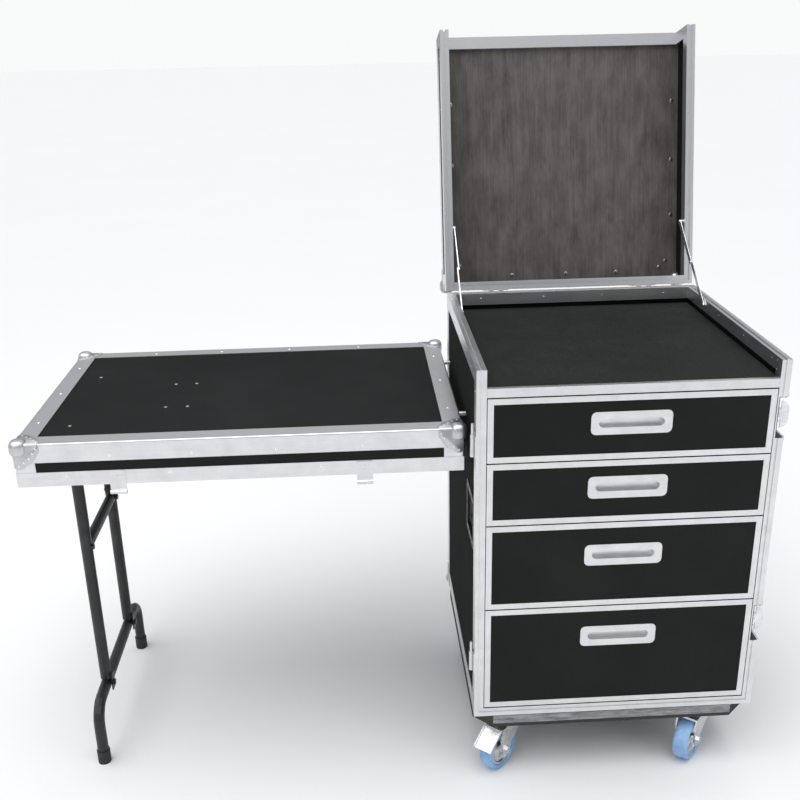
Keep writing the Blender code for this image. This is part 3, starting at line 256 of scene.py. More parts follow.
plywood = {
    "dark": (0.062, 0.0565, 0.0535),
    "light": (0.138, 0.127, 0.120),
    "toneFrom": (0.38, 0.62),
    "rough": (0.48, 0.66),
    "grainWidth": 0.0035,
    "grainLength": 0.18,
    "grainDepth": 0.00008,
    "figureSize": 0.030,
    "figureStretch": 0.4,
    "poreSize": 0.0011,
    "poreStretch": 0.05,
    "parts": (0.36, 0.44, 0.20),     # grain, figure, pores
}


def plywoodRecipe(tree, along="Y", turn=(0, 0, 0)):
    # Stained ply: long grain streaks, slow figure and fine pores
    def layer(stretch, size, detail, roughness):
        scale = [stretch if axis == along else 1.0 for axis in "XYZ"]
        return noise(tree, coordinates(tree, scale, turn), size, detail, roughness)

    grain = layer(plywood["grainWidth"] / plywood["grainLength"], plywood["grainWidth"], 5, 0.65)
    broad = layer(plywood["figureStretch"], plywood["figureSize"], 4, 0.6)
    pores = layer(plywood["poreStretch"], plywood["poreSize"], 2, 0.5)
    layers = [times(tree, value, part) for value, part in zip((grain, broad, pores), plywood["parts"])]
    figure = sums(tree, "ADD", sums(tree, "ADD", layers[0], layers[1]), layers[2])
    tone = share(tree, figure, *plywood["toneFrom"])
    return {
        "colour": mixColours(tree, tone, plywood["dark"], plywood["light"]),
        "rough": uneven(tree, pores, plywood["rough"]),
        "metal": 0.0,
        "height": times(tree, sums(tree, "ADD", figure, pores), plywood["grainDepth"]),
    }


aluminium = {
    "bright": (0.79, 0.80, 0.815),
    "dull": (0.56, 0.57, 0.59),
    "dulled": (0.12, 0.88),          # how far the grime goes from bright to dull
    "dulledFrom": (0.35, 1.18),
    "rough": (0.24, 0.42),
    "roughFrom": (0.55, 1.45),
    "drawLength": 0.30,
    "drawWidth": 0.0014,
    "drawDepth": 0.000004,
    "drawPart": 0.45,
    "markSize": 0.035,
}


def drawnLines(tree, along):
    narrow = aluminium["drawWidth"] / aluminium["drawLength"]
    stretch = [narrow if axis == along else 1.0 for axis in "XYZ"]
    return noise(tree, coordinates(tree, stretch), aluminium["drawWidth"], 3, 0.6)


def aluminiumRecipe(tree, along="X", loop=None):
    # Satin drawn aluminium: die lines along each run, a little grime and handling marks
    if loop:
        low, high, first, second = loop
        across = mitred(tree, low, high, first, second)
        lines = times(tree, drawnLines(tree, second), across)
        other = times(tree, drawnLines(tree, first), sums(tree, "SUBTRACT", 1.0, across))
        lines = sums(tree, "ADD", lines, other)
    else:
        lines = drawnLines(tree, along)
    marks = noise(tree, coordinates(tree), aluminium["markSize"], 6, 0.65)
    grime = sums(tree, "ADD", times(tree, lines, aluminium["drawPart"]), marks)
    grime = remap(tree, grime, *aluminium["dulled"], *aluminium["dulledFrom"])
    worn = sums(tree, "ADD", marks, lines)
    return {
        "colour": mixColours(tree, grime, aluminium["bright"], aluminium["dull"]),
        "rough": remap(tree, worn, *aluminium["rough"], *aluminium["roughFrom"]),
        "metal": 1.0,
        "height": times(tree, lines, aluminium["drawDepth"]),
    }


def tinted(tree, mixed, part, colour):
    mixed["colour"] = mixColours(tree, part, mixed["colour"], colour)
    return mixed


plinthStrip = {
    # painted shade: the dark colour the strip is mixed towards, in uneven streaks along it
    "paintedShade": (0.05, 0.05, 0.055),
    "unevenShade": (0.50, 0.85),
    "unevenShadeFrom": (0.35, 0.65),
    "patchSize": 0.006,
    "shadeStretch": (0.15, 1, 1),
}


def plinthStripRecipe(tree):
    # Metal low under the case, darkened as painted shade in uneven streaks, much darker than the extrusions
    strip = aluminiumRecipe(tree)
    unevenShade = noise(tree, coordinates(tree, plinthStrip["shadeStretch"]), plinthStrip["patchSize"], 5, 0.7)
    part = remap(tree, unevenShade, *plinthStrip["unevenShade"], *plinthStrip["unevenShadeFrom"])
    return tinted(tree, strip, part, plinthStrip["paintedShade"])


zinc = {
    "bright": (0.78, 0.79, 0.80),
    "cool": (0.60, 0.63, 0.67),
    "coolSize": 0.018,
    "coolFrom": (0.35, 0.7),
    "warm": (0.70, 0.68, 0.61),
    "warmSize": 0.012,
    "warmShift": (3, 1, 2),
    "warmMost": 0.5,
    "warmFrom": (0.5, 0.75),
    "rough": (0.20, 0.38),
    "roughSize": 0.004,
    "peel": 0.000003,
    "peelSize": 0.0025,
    "bolt": (0.72, (0.10, 0.10, 0.105)),        # how far towards which colour
    "corner": (0.5, (0.40, 0.41, 0.43)),
    "cornerRougher": 0.10,
    "rivet": (0.6, (0.95, 0.955, 0.96)),
}


def zincRecipe(tree):
    # Bright zinc plate with its faint blue and straw tints
    spot = coordinates(tree)
    tint = share(tree, noise(tree, spot, zinc["coolSize"], 3, 0.55), *zinc["coolFrom"])
    straw = noise(tree, coordinates(tree, shift=zinc["warmShift"]), zinc["warmSize"], 2)
    straw = remap(tree, straw, 0.0, zinc["warmMost"], *zinc["warmFrom"])
    cool = mixColours(tree, tint, zinc["bright"], zinc["cool"])
    return {
        "colour": mixColours(tree, straw, cool, zinc["warm"]),
        "rough": uneven(tree, noise(tree, spot, zinc["roughSize"], 4, 0.6), zinc["rough"]),
        "metal": 1.0,
        "height": times(tree, noise(tree, spot, zinc["peelSize"], 2), zinc["peel"]),
    }


def dullBoltRecipe(tree):
    return tinted(tree, zincRecipe(tree), *zinc["bolt"])


def cornerZincRecipe(tree):
    # Pressed corners: duller than the rivets in them
    pressed = tinted(tree, zincRecipe(tree), *zinc["corner"])
    pressed["rough"] = sums(tree, "ADD", pressed["rough"], zinc["cornerRougher"])
    return pressed


def rivetRecipe(tree):
    return tinted(tree, zincRecipe(tree), *zinc["rivet"])


powder = {
    "dark": (0.010, 0.010, 0.0105),
    "worn": (0.028, 0.028, 0.030),
    "wornSize": 0.06,
    "wornFrom": (0.45, 0.75),
    "rough": (0.36, 0.52),
    "roughSize": 0.01,
    "peel": 0.00005,
    "peelSize": 0.0016,
}


def powderRecipe(tree):
    spot = coordinates(tree)
    worn = share(tree, noise(tree, spot, powder["wornSize"], 5, 0.7), *powder["wornFrom"])
    return {
        "colour": mixColours(tree, worn, powder["dark"], powder["worn"]),
        "rough": uneven(tree, noise(tree, spot, powder["roughSize"], 3), powder["rough"]),
        "metal": 0.0,
        "height": times(tree, noise(tree, spot, powder["peelSize"], 2), powder["peel"]),
    }


rubber = {
    "dark": (0.012, 0.012, 0.012),
    "dusty": (0.034, 0.034, 0.033),
    "dustSize": 0.015,
    "dustFrom": (0.4, 0.8),
    "rough": (0.55, 0.78),
    "roughSize": 0.003,
    "grain": 0.00006,
    "grainSize": 0.0007,
}


def rubberRecipe(tree):
    spot = coordinates(tree)
    dusty = share(tree, noise(tree, spot, rubber["dustSize"], 4, 0.6), *rubber["dustFrom"])
    return {
        "colour": mixColours(tree, dusty, rubber["dark"], rubber["dusty"]),
        "rough": uneven(tree, noise(tree, spot, rubber["roughSize"], 3), rubber["rough"]),
        "metal": 0.0,
        "height": times(tree, noise(tree, spot, rubber["grainSize"], 2), rubber["grain"]),
    }


mat = {
    "dark": (0.0080, 0.0084, 0.0082),
    "light": (0.039, 0.040, 0.0385),
    "dustSize": 0.12,
    "dust": (0.2, 1.0),
    "dustFrom": (0.35, 0.7),
    "rough": (0.60, 0.85),
    "pebble": 0.0022,
    "pebbleHigh": 0.00022,
    "pebbleReach": 0.75,
    "specular": 0.15,
}


def matRecipe(tree):
    # Pebbled mat: rounded cells, each lighter towards its crown, more so where a broad noise runs high
    spot = coordinates(tree)
    cells = addNode(tree, "ShaderNodeTexVoronoi", {"Vector": spot, "Scale": 1 / mat["pebble"]})
    crown = remap(tree, cells.outputs["Distance"], 1.0, 0.0, 0.0, mat["pebbleReach"])
    dust = noise(tree, spot, mat["dustSize"], 5, 0.6)
    tone = times(tree, crown, remap(tree, dust, *mat["dust"], *mat["dustFrom"]))
    return {
        "colour": mixColours(tree, tone, mat["dark"], mat["light"]),
        "rough": uneven(tree, dust, mat["rough"]),
        "metal": 0.0,
        "height": times(tree, crown, mat["pebbleHigh"]),
    }


tread = {
    "blue": (0.20, 0.40, 0.70),
    "pale": (0.33, 0.52, 0.78),
    "paleSize": 0.03,
    "paleFrom": (0.35, 0.7),
    "dirt": (0.17, 0.22, 0.29),
    "dirtSize": 0.008,
    "dirtMost": 0.7,
    "dirtFrom": (0.5, 0.8),
    "rough": (0.32, 0.55),
    "roughSize": 0.005,
    "scuffDepth": 0.00004,
    "patchSize": 0.0018,
    "softness": 0.12,
    "softDepth": 0.004,
}


def treadRecipe(tree):
    spot = coordinates(tree)
    paintedShade = noise(tree, spot, tread["dirtSize"], 6, 0.7)
    paintedShade = remap(tree, paintedShade, 0.0, tread["dirtMost"], *tread["dirtFrom"])
    paler = share(tree, noise(tree, spot, tread["paleSize"], 3), *tread["paleFrom"])
    tint = mixColours(tree, paler, tread["blue"], tread["pale"])
    return {
        "colour": mixColours(tree, paintedShade, tint, tread["dirt"]),
        "rough": uneven(tree, noise(tree, spot, tread["roughSize"], 4), tread["rough"]),
        "metal": 0.0,
        "height": times(tree, noise(tree, spot, tread["patchSize"], 4, 0.6), tread["scuffDepth"]),
    }


def twoRecipes(tree, part, first, second):
    # The first recipe where part is 0 and the second where it is 1
    mixed = {"colour": mixColours(tree, part, first["colour"], second["colour"])}
    for key in ("rough", "height"):
        rest = times(tree, first[key], sums(tree, "SUBTRACT", 1.0, part))
        mixed[key] = sums(tree, "ADD", rest, times(tree, second[key], part))
    if first["metal"] == second["metal"]:
        mixed["metal"] = first["metal"]
    else:
        mixed["metal"] = remap(tree, part, first["metal"], second["metal"], 0.0, 1.0)
    return mixed


def finish(name, recipe, **gloss):
    made = bpy.data.materials.new(name)
    made.use_nodes = True
    tree = made.node_tree
    shader = tree.nodes["Principled BSDF"]
    mixed = recipe(tree)
    tree.links.new(mixed["colour"], shader.inputs["Base Color"])
    tree.links.new(mixed["rough"], shader.inputs["Roughness"])
    if isinstance(mixed["metal"], bpy.types.NodeSocket):
        tree.links.new(mixed["metal"], shader.inputs["Metallic"])
    else:
        shader.inputs["Metallic"].default_value = mixed["metal"]
    heights = {"Height": mixed["height"], "Distance": 1.0, "Strength": 1.0}
    relief = addNode(tree, "ShaderNodeBump", heights)
    tree.links.new(relief.outputs["Normal"], shader.inputs["Normal"])
    for socket, value in gloss.items():
        shader.inputs[socket.replace("_", " ")].default_value = value
    return made


blackLaminate = finish("blackLaminate", laminateRecipe, Specular_IOR_Level=laminate["specular"])
brightZinc = finish("brightZinc", zincRecipe)
blackPowder = finish("blackPowder", powderRecipe)
dullBolt = finish("dullBolt", dullBoltRecipe)
cornerZinc = finish("cornerZinc", cornerZincRecipe)
rivetMetal = finish("rivetMetal", rivetRecipe)
pebbledMat = finish("pebbledMat", matRecipe, Specular_IOR_Level=mat["specular"])
blueTread = finish(
    "blueTread", treadRecipe, Subsurface_Weight=tread["softness"], Subsurface_Scale=tread["softDepth"]
)
drawnAluminium = finish("drawnAluminiumX", aluminiumRecipe)


def loopFinish(name, node, first, second):
    low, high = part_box(node)
    return finish(name, lambda tree: aluminiumRecipe(tree, loop=(low, high, first, second)))


# Nodes of more than one material: where one ends and the next begins
borders = {
    "drawerFront": 0.0004,     # ahead of the front panel's back
    "trayIn": 0.0327,          # from the case's side to just outside the tray's own face
    "lidFace": 0.0003,         # either side of the lid's inner face
    "castorPlates": 0.1229,    # height of their tops
    "battenIn": 0.0207,        # from the case's side
    "gripRubber": 0.0135,      # up from the grip's lowest point
    "footCaps": 0.0321,        # height of their tops
    "latchFlange": 0.0022,     # in from the case's side
}


def drawerRecipe(tree):
    # Laminated front, stained tray, zinc slides
    low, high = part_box("drawer_1_box")
    found = axes(tree, coordinates(tree))
    panelBack = caseCorner.y + case["skin"] + case["panel"]
    behind = sums(tree, "GREATER_THAN", found["Y"], panelBack - borders["drawerFront"])
    mixed = twoRecipes(tree, behind, laminateRecipe(tree), plywoodRecipe(tree))
    reach = awayFrom(tree, found["X"], (low.x + high.x) / 2)
    beside = sums(tree, "GREATER_THAN", reach, case["wide"] / 2 - borders["trayIn"])
    return twoRecipes(tree, times(tree, beside, behind), mixed, zincRecipe(tree))


def lidShellRecipe(tree):
    # Stained grain on the lid's inner face, laminate on its walls and outside, told apart in the
    # shut lid's own axes
    inner = case["skin"] + case["panel"]
    back = lidOpen.inverted()
    spot = coordinates(tree, turn=back.to_euler(), shift=back.translation)
    found = axes(tree, spot)
    inside = between(tree, found["X"], caseCorner.x + inner, caseCorner.x + case["wide"] - inner)
    level, slack = case["lidTop"] - inner, borders["lidFace"]
    face = between(tree, found["Z"], level - slack, level + slack)
    grained = plywoodRecipe(tree, turn=back.to_euler())
    return twoRecipes(tree, times(tree, inside, face), laminateRecipe(tree), grained)


def boardRecipe(tree):
    # Castor plates under the laminated board are zinc
    found = axes(tree, coordinates(tree))
    plates = sums(tree, "LESS_THAN", found["Z"], borders["castorPlates"])
    return twoRecipes(tree, plates, laminateRecipe(tree), zincRecipe(tree))


def runnerRecipe(tree):
    # Zinc channels on stained battens
    found = axes(tree, coordinates(tree))
    reach = awayFrom(tree, found["X"], caseCorner.x + case["wide"] / 2)
    batten = sums(tree, "GREATER_THAN", reach, case["wide"] / 2 - borders["battenIn"])
    return twoRecipes(tree, batten, zincRecipe(tree), plywoodRecipe(tree, "Z"))


grip = {"ribPitch": 0.0034, "ribHigh": 0.0005, "halfLong": 0.0302}


def gripRecipe(tree):
    # Ribbed rubber on the grip's straight, powder coat on its rod
    low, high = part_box("handle_grip_left")
    found = axes(tree, coordinates(tree))
    away = sums(tree, "SUBTRACT", found["Y"], (low.y + high.y) / 2)
    wave = sums(tree, "SINE", times(tree, away, math.tau / grip["ribPitch"]), 0.0)
    soft = rubberRecipe(tree)
    soft["height"] = sums(tree, "ADD", soft["height"], times(tree, wave, grip["ribHigh"] / 2))
    onGrip = sums(tree, "LESS_THAN", sums(tree, "ABSOLUTE", away, 0.0), grip["halfLong"])
    lowDown = sums(tree, "LESS_THAN", found["Z"], low.z + borders["gripRubber"])
    return twoRecipes(tree, times(tree, onGrip, lowDown), powderRecipe(tree), soft)


def footRecipe(tree):
    # Rubber caps on the foot bar's ends
    found = axes(tree, coordinates(tree))
    cap = sums(tree, "LESS_THAN", found["Z"], borders["footCaps"])
    return twoRecipes(tree, cap, powderRecipe(tree), rubberRecipe(tree))


def latchDishRecipe(tree):
    # Zinc flange; black inside the dish, painted shade in the recess
    found = axes(tree, coordinates(tree))
    flange = caseCorner.x + case["wide"] - borders["latchFlange"]
    inside = sums(tree, "LESS_THAN", found["X"], flange)
    return twoRecipes(tree, inside, zincRecipe(tree), powderRecipe(tree))


def paint(finishMade, *names):
    for name in names:
        slots = cadNodes[name].data.materials
        slots.clear()
        slots.append(finishMade)


numbers = (1, 2, 3, 4)
sides = ("left", "right")
paint(blackLaminate, *[f"side_panel_{side}" for side in sides], "back_panel", "bottom_panel")
paint(blackLaminate, "deck_panel", "cover_shell")
for node, name, plane in (
    ("body_rim", "bodyRimAluminium", "XY"),
    ("body_angles", "bodyAngleAluminium", "XZ"),
    ("lid_rim", "lidRimAluminium", "XZ"),
    ("lid_angles", "lidAngleAluminium", "XZ"),
    ("cover_rim", "coverRimAluminium", "XY"),
    ("cover_angles", "coverAngleAluminium", "XY"),
    *[(f"drawer_{n}_frame", f"drawerTrim{n}", "XZ") for n in numbers],
):
    paint(loopFinish(name, node, *plane), node)
paint(drawnAluminium, "deck_rail", *[f"drawer_{n}_pull" for n in numbers])
paint(finish("plinthStrip", plinthStripRecipe), "board_strip")
paint(pebbledMat, "deck_mat")
drawerBox = finish("drawerBox", drawerRecipe, Specular_IOR_Level=laminate["specular"])
paint(drawerBox, *[f"drawer_{n}_box" for n in numbers])
paint(finish("lidShell", lidShellRecipe, Specular_IOR_Level=laminate["specular"]), "lid_shell")
paint(finish("castorBoard", boardRecipe), "castor_board")
paint(finish("drawerRunner", runnerRecipe), *[f"runners_{side}" for side in sides])
paint(finish("ribbedGrip", gripRecipe), *[f"handle_grip_{side}" for side in sides])
paint(finish("footBar", footRecipe), "leg_foot")
paint(finish("latchDish", latchDishRecipe), "latch_1_dish", "latch_2_dish")
paint(brightZinc, *[f"stay_{part}_{side}" for part in ("lower", "upper") for side in sides])
paint(brightZinc, *[f"latch_{n}_{part}" for n in (1, 2) for part in ("rotor", "wing")])
paint(brightZinc, "brake_pedal", *[f"castor_{n}_fork" for n in numbers])
paint(blackPowder, *[f"handle_dish_{side}" for side in sides], "leg_bracket", "leg_frame")
paint(blackPowder, "brace_plate", "brace_strut", "brace_link")
print("finishes on the CAD nodes")


# Mesh helpers
def turnedMesh(name, profile, steps, merge=0.000004):
    # A template spun round Z from a profile of (radius, height) points
    shape = bmesh.new()
    corners = [shape.verts.new((radius, 0, height)) for radius, height in profile]
    edges = [shape.edges.new(pair) for pair in zip(corners, corners[1:])]
    whole = {"cent": (0, 0, 0), "axis": (0, 0, 1), "angle": math.tau, "steps": steps}
    bmesh.ops.spin(shape, geom=corners + edges, use_merge=True, **whole)
    bmesh.ops.remove_doubles(shape, verts=shape.verts[:], dist=merge)
    bmesh.ops.recalc_face_normals(shape, faces=shape.faces[:])
    mesh = bpy.data.meshes.new(name)
    shape.to_mesh(mesh)
    shape.free()
    return mesh


def stamp(shape, template, place, way):
    before = len(shape.verts)
    shape.from_mesh(template)
    shape.verts.ensure_lookup_table()
    matrix = Matrix.Translation(place) @ Vector(way).to_track_quat("Z", "Y").to_matrix().to_4x4()
    bmesh.ops.transform(shape, matrix=matrix, verts=shape.verts[before:])


def makePiece(name, shape, body, material, sharp=38):
    mesh = bpy.data.meshes.new(name)
    shape.to_mesh(mesh)
    shape.free()
    mesh.shade_smooth()
    mesh.set_sharp_from_angle(angle=math.radians(sharp))
    mesh.materials.append(material)
    piece = bpy.data.objects.new(name, mesh)
    bpy.context.scene.collection.objects.link(piece)
    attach(piece, body)
    return piece


def spread(start, end, count):
    return [start + (end - start) * k / (count - 1) for k in range(count)]


def clear(value, spans):
    return all(not low < value < high for low, high in spans)


# Heads: crown gives points as shares of the radius and of the height
rivet = {
    "radius": 0.0033,
    "high": 0.0012,
    "crown": ((0.45, 0.92), (0.8, 0.55)),
    "lip": 0.0001,
    "sunk": 0.0002,
    "steps": 12,
}
tinyRivet = {
    "radius": 0.0021,
    "high": 0.0008,
    "crown": ((4 / 7, 3 / 4),),
    "lip": 0.0001,
    "sunk": 0.0002,
    "steps": 10,
}
panHead = {
    "radius": 0.0044,
    "high": 0.0018,
    "crown": ((1 / 2, 17 / 18), (19 / 22, 11 / 18)),
    "lip": 0.0002,
    "sunk": 0.0002,
    "steps": 14,
}


def headMesh(name, head):
    radius, high = head["radius"], head["high"]
    crown = [(radius * out, high * up) for out, up in head["crown"]]
    skirt = [(radius, head["lip"]), (radius, -head["sunk"]), (0, -head["sunk"])]
    return turnedMesh(name, [(0, high)] + crown + skirt, head["steps"])


rivetHead = headMesh("rivetHead", rivet)
smallRivet = headMesh("smallRivet", tinyRivet)


def headPiece(name, body, spots, template=rivetHead, material=rivetMetal):
    # Spots are pairs: the place and the outward way
    shape = bmesh.new()
    for place, way in spots:
        stamp(shape, template, place, way)
    return makePiece(name, shape, body, material)


# Rows of rivets: a span is (from one end, from the other, how many)
rows = {
    "edge": 0.0215,            # on an angle, from the case's outer edge
    "rim": 0.0205,             # on a closing extrusion, from its rim
    "bodyUp": (0.062, 0.048, 8),
    "bodyBack": (0.085, 0.085, 5),
    "bodyRearLow": (0.090, 0.090, 5),
    "bodyRearUp": (0.085, 0.080, 6),
    "rearTop": (0.055, 0.200, 0.300, 0.400, 0.545),
    "lidBack": (0.060, 0.080, 5),
    "lidTopBack": (0.085, 0.085, 5),
    "lidTopAcross": (0.100, 0.100, 4),
    "coverLong": (-0.713, -0.553, -0.387, -0.216),
    "coverLongDown": 0.030,
    "coverFrontRim": (-0.800, -0.600, -0.300),
    "coverBackRim": (-0.800, -0.640, -0.500, -0.360),
    "coverEnds": (0.120, 0.120, 3),
    "hingeSpans": ((0.745, 0.810), (0.258, 0.320)),      # left bare for the fittings
    "latchSpans": ((0.762, 0.871), (0.303, 0.412)),
    "lidHingeSpans": ((0.085, 0.155), (0.445, 0.515)),
}
wallInside = {
    "face": 0.0200,            # from the case's outside
    "down": 0.012,
    "sides": (0.052, 0.205, 0.360, 0.545),
    "rear": (0.080, 0.230, 0.370, 0.520),
    "frontIn": 0.024,          # two at the front end of the right wall
    "frontDown": (0.0075, 0.0265),
}


def row(low, high, span):
    return spread(low + span[0], high - span[1], span[2])


def bodyRivets():
    edge, rim = rows["edge"], rows["rim"]
    wide, deep = case["wide"], case["deep"]
    low, high = case["bodyLow"], case["wallTop"]
    spots = []
    for x, out, taken in ((0, -1, rows["hingeSpans"]), (wide, 1, rows["latchSpans"])):
        way = caseWay(out, 0, 0)
        for z in row(low, high, rows["bodyUp"]):
            if clear(z, taken):
                spots.append((onCase(x, rim, z), way))
            spots.append((onCase(x, deep - edge, z), way))
        for y in row(0, deep, rows["bodyBack"]):
            spots.append((onCase(x, y, low + edge), way))
            spots.append((onCase(x, y, high - rim), way))
    rear = caseWay(0, 1, 0)
    for x in row(0, wide, rows["bodyRearLow"]):
        spots.append((onCase(x, deep, low + edge), rear))
    for x in rows["rearTop"]:
        if clear(x, rows["lidHingeSpans"]):
            spots.append((onCase(x, deep, high - rim), rear))
    for z in row(low, high, rows["bodyRearUp"]):
        for x in (edge, wide - edge):
            spots.append((onCase(x, deep, z), rear))
    headPiece("bodyRivets", "case", spots)


def wallRivets():
    inner, wide, deep = wallInside["face"], case["wide"], case["deep"]
    high = case["wallTop"]
    level = high - wallInside["down"]
    spots = []
    for y in wallInside["sides"]:
        spots.append((onCase(inner, y, level), caseWay(1, 0, 0)))
        spots.append((onCase(wide - inner, y, level), caseWay(-1, 0, 0)))
    for x in wallInside["rear"]:
        spots.append((onCase(x, deep - inner, level), caseWay(0, -1, 0)))
    for down in wallInside["frontDown"]:
        spots.append((onCase(wide - inner, wallInside["frontIn"], high - down), caseWay(-1, 0, 0)))
    headPiece("wallInnerRivets", "case", spots, smallRivet)


def lidRivets():
    edge, rim = rows["edge"], rows["rim"]
    wide, deep = case["wide"], case["deep"]
    low, high = case["lidRim"], case["lidTop"]
    spots = []
    for x, out in ((0, -1), (wide, 1)):
        for y in row(0, deep, rows["lidBack"]):
            spots.append((onLid(x, y, low + rim), lidWay(out, 0, 0)))
            spots.append((onLid(x, y, high - edge), lidWay(out, 0, 0)))
    for x in rows["rearTop"]:
        spots.append((onLid(x, deep, low + rim), lidWay(0, 1, 0)))
        spots.append((onLid(x, deep, high - edge), lidWay(0, 1, 0)))
    for y in row(0, deep, rows["lidTopBack"]):
        spots.append((onLid(edge, y, high), lidWay(0, 0, 1)))
        spots.append((onLid(wide - edge, y, high), lidWay(0, 0, 1)))
    for x in row(0, wide, rows["lidTopAcross"]):
        spots.append((onLid(x, deep - edge, high), lidWay(0, 0, 1)))
        spots.append((onLid(x, rim, high), lidWay(0, 0, 1)))
    headPiece("lidRivets", "lid", spots)


def coverRivets():
    edge, rim = rows["edge"], rows["rim"]
    front, back = case["tableFront"], case["tableBack"]
    low, high = case["tableRim"], case["tableTop"]
    level = high - rows["coverLongDown"]
    near, far, top = caseWay(0, -1, 0), caseWay(0, 1, 0), caseWay(0, 0, 1)
    spots = []
    for x in rows["coverLong"]:
        spots.append((onCase(x, front, level), near))
        spots.append((onCase(x, back, level), far))
        spots.append((onCase(x, back - edge, high), top))
    for x in rows["coverFrontRim"]:
        spots.append((onCase(x, front, low + rim), near))
    for x in rows["coverBackRim"]:
        spots.append((onCase(x, back, low + rim), far))
    for y in row(front, back, rows["coverEnds"]):
        for x, out in ((case["tableLeft"], -1), (case["tableRight"], 1)):
            spots.append((onCase(x, y, level), caseWay(out, 0, 0)))
            spots.append((onCase(x, y, low + rim), caseWay(out, 0, 0)))
            spots.append((onCase(x - out * edge, y, high), top))
    headPiece("coverRivets", "cover", spots)


bodyRivets()
wallRivets()
lidRivets()
coverRivets()
print("rivets on the extrusions")


# Pressed ball corners over the CAD's plain ones: lobed petals, bent edges, a ball and its rivets
ballCorner = {
    "ball": 0.0172,
    "square": 3.0,           # 2 is a true ball; the pressing is a little boxier
    "deepIn": 0.0099,        # from each face to the ball's centre
    "ballSteps": (28, 18),
    "high": 0.0015,
    "sunk": 0.0002,
    "bevel": 0.0005,
    "bend": 0.0030,          # the angle's own outer radius
    "bendSpan": (0.004, 0.049),
    "bendSteps": 5,
    "petalMiddle": 0.024,
    "petalReach": 0.020,
    "half": ((0.0490, 0.0028), (0.0516, 0.0052), (0.0520, 0.0125), (0.0502, 0.0178),
             (0.0468, 0.0216), (0.0440, 0.0262), (0.0412, 0.0318)),
    "rivets": ((0.0455, 0.0095), (0.0095, 0.0455), (0.0385, 0.0195), (0.0195, 0.0385),
               (0.0300, 0.0300)),
    "sharp": 35,
}


def facePoint(corner, out, face, a, b, height):
    # A point on one of the corner's faces: a and b in from its edges, height above it
    k = "xyz".index(face)
    first, second = [i for i in range(3) if i != k]
    point = list(corner)
    point[k] += out[k] * height
    point[first] -= out[first] * a
    point[second] -= out[second] * b
    return point


def prism(shape, rings):
    # Closes a stack of equal rings with a face at each end
    made = [[shape.verts.new(point) for point in ring] for ring in rings]
    count = len(made[0])
    for lower, upper in zip(made, made[1:]):
        for k in range(count):
            shape.faces.new((lower[k], lower[(k + 1) % count], upper[(k + 1) % count], upper[k]))
    shape.faces.new(made[0])
    shape.faces.new(made[-1])


def addPetal(shape, corner, out, face, place):
    half = list(ballCorner["half"])
    near, middle = ballCorner["bend"], ballCorner["petalMiddle"]
    outline = [(near, near)] + half + [(b, a) for a, b in reversed(half)]
    high, bevel = ballCorner["high"], ballCorner["bevel"]
    smaller = 1 - bevel / ballCorner["petalReach"]
    rings = []
    for height, size in ((-ballCorner["sunk"], 1.0), (high - bevel, 1.0), (high, smaller)):
        ring = [[middle + (value - middle) * size for value in point] for point in outline]
        rings.append([place(*facePoint(corner, out, face, a, b, height)) for a, b in ring])
    prism(shape, rings)


def addBend(shape, corner, out, along, place):
    # The pressing's rounded edge between two petals
    k = "xyz".index(along)
    first, second = [i for i in range(3) if i != k]
    inside, steps = ballCorner["bend"], ballCorner["bendSteps"]
    radius = inside + ballCorner["high"]
    angles = [math.radians(90 * step / steps) for step in range(steps + 1)]
    fan = [(0, 0)] + [(radius * math.cos(angle), radius * math.sin(angle)) for angle in angles]
    rings = []
    for distance in ballCorner["bendSpan"]:
        ring = []
        for reach in fan:
            point = list(corner)
            point[k] -= out[k] * distance
            point[first] += out[first] * (reach[0] - inside)
            point[second] += out[second] * (reach[1] - inside)
            ring.append(place(*point))
        rings.append(ring)
    prism(shape, rings)


def addBall(shape, corner, out, place):
    across, down = ballCorner["ballSteps"]
    made = bmesh.ops.create_uvsphere(shape, u_segments=across, v_segments=down, radius=1.0)
    square, deep = ballCorner["square"], ballCorner["deepIn"]
    for vert in made["verts"]:
        way = vert.co.normalized()
        reach = ballCorner["ball"] / sum(abs(value) ** square for value in way) ** (1 / square)
        vert.co = place(*[c - o * deep + w * reach for c, o, w in zip(corner, out, way)])


def ballCorners(name, body, corners, place, way):
    # A corner with three faces has a ball, one with two only its bend
    metal, heads = bmesh.new(), []
    for corner, out, faces in corners:
        for face in faces:
            addPetal(metal, corner, out, face, place)
            normal = [0, 0, 0]
            normal["xyz".index(face)] = out["xyz".index(face)]
            for a, b in ballCorner["rivets"]:
                spot = facePoint(corner, out, face, a, b, ballCorner["high"])
                heads.append((place(*spot), way(*normal)))
        for along in "xyz" if len(faces) == 3 else "z":
            addBend(metal, corner, out, along, place)
        if len(faces) == 3:
            addBall(metal, corner, out, place)
    bmesh.ops.recalc_face_normals(metal, faces=metal.faces[:])
    makePiece(f"{name}Corners", metal, body, cornerZinc, ballCorner["sharp"])
    headPiece(f"{name}CornerRivets", body, heads, smallRivet)


def allBallCorners():
    wide, deep = case["wide"], case["deep"]
    sidesOut = ((0, -1), (wide, 1))
    body = [((x, deep, case["bodyLow"]), (out, 1, -1), "xy") for x, out in sidesOut]
    ballCorners("body", "case", body, onCase, caseWay)
    lid = [((x, deep, case["lidTop"]), (out, 1, 1), "xyz") for x, out in sidesOut]
    ballCorners("lid", "lid", lid, onLid, lidWay)
    cover = []
    for x, outX in ((case["tableLeft"], -1), (case["tableRight"], 1)):
        for y, outY in ((case["tableFront"], -1), (case["tableBack"], 1)):
            cover.append(((x, y, case["tableTop"]), (outX, outY, 1), "xyz"))
    ballCorners("cover", "cover", cover, onCase, caseWay)


allBallCorners()
print("ball corners pressed")


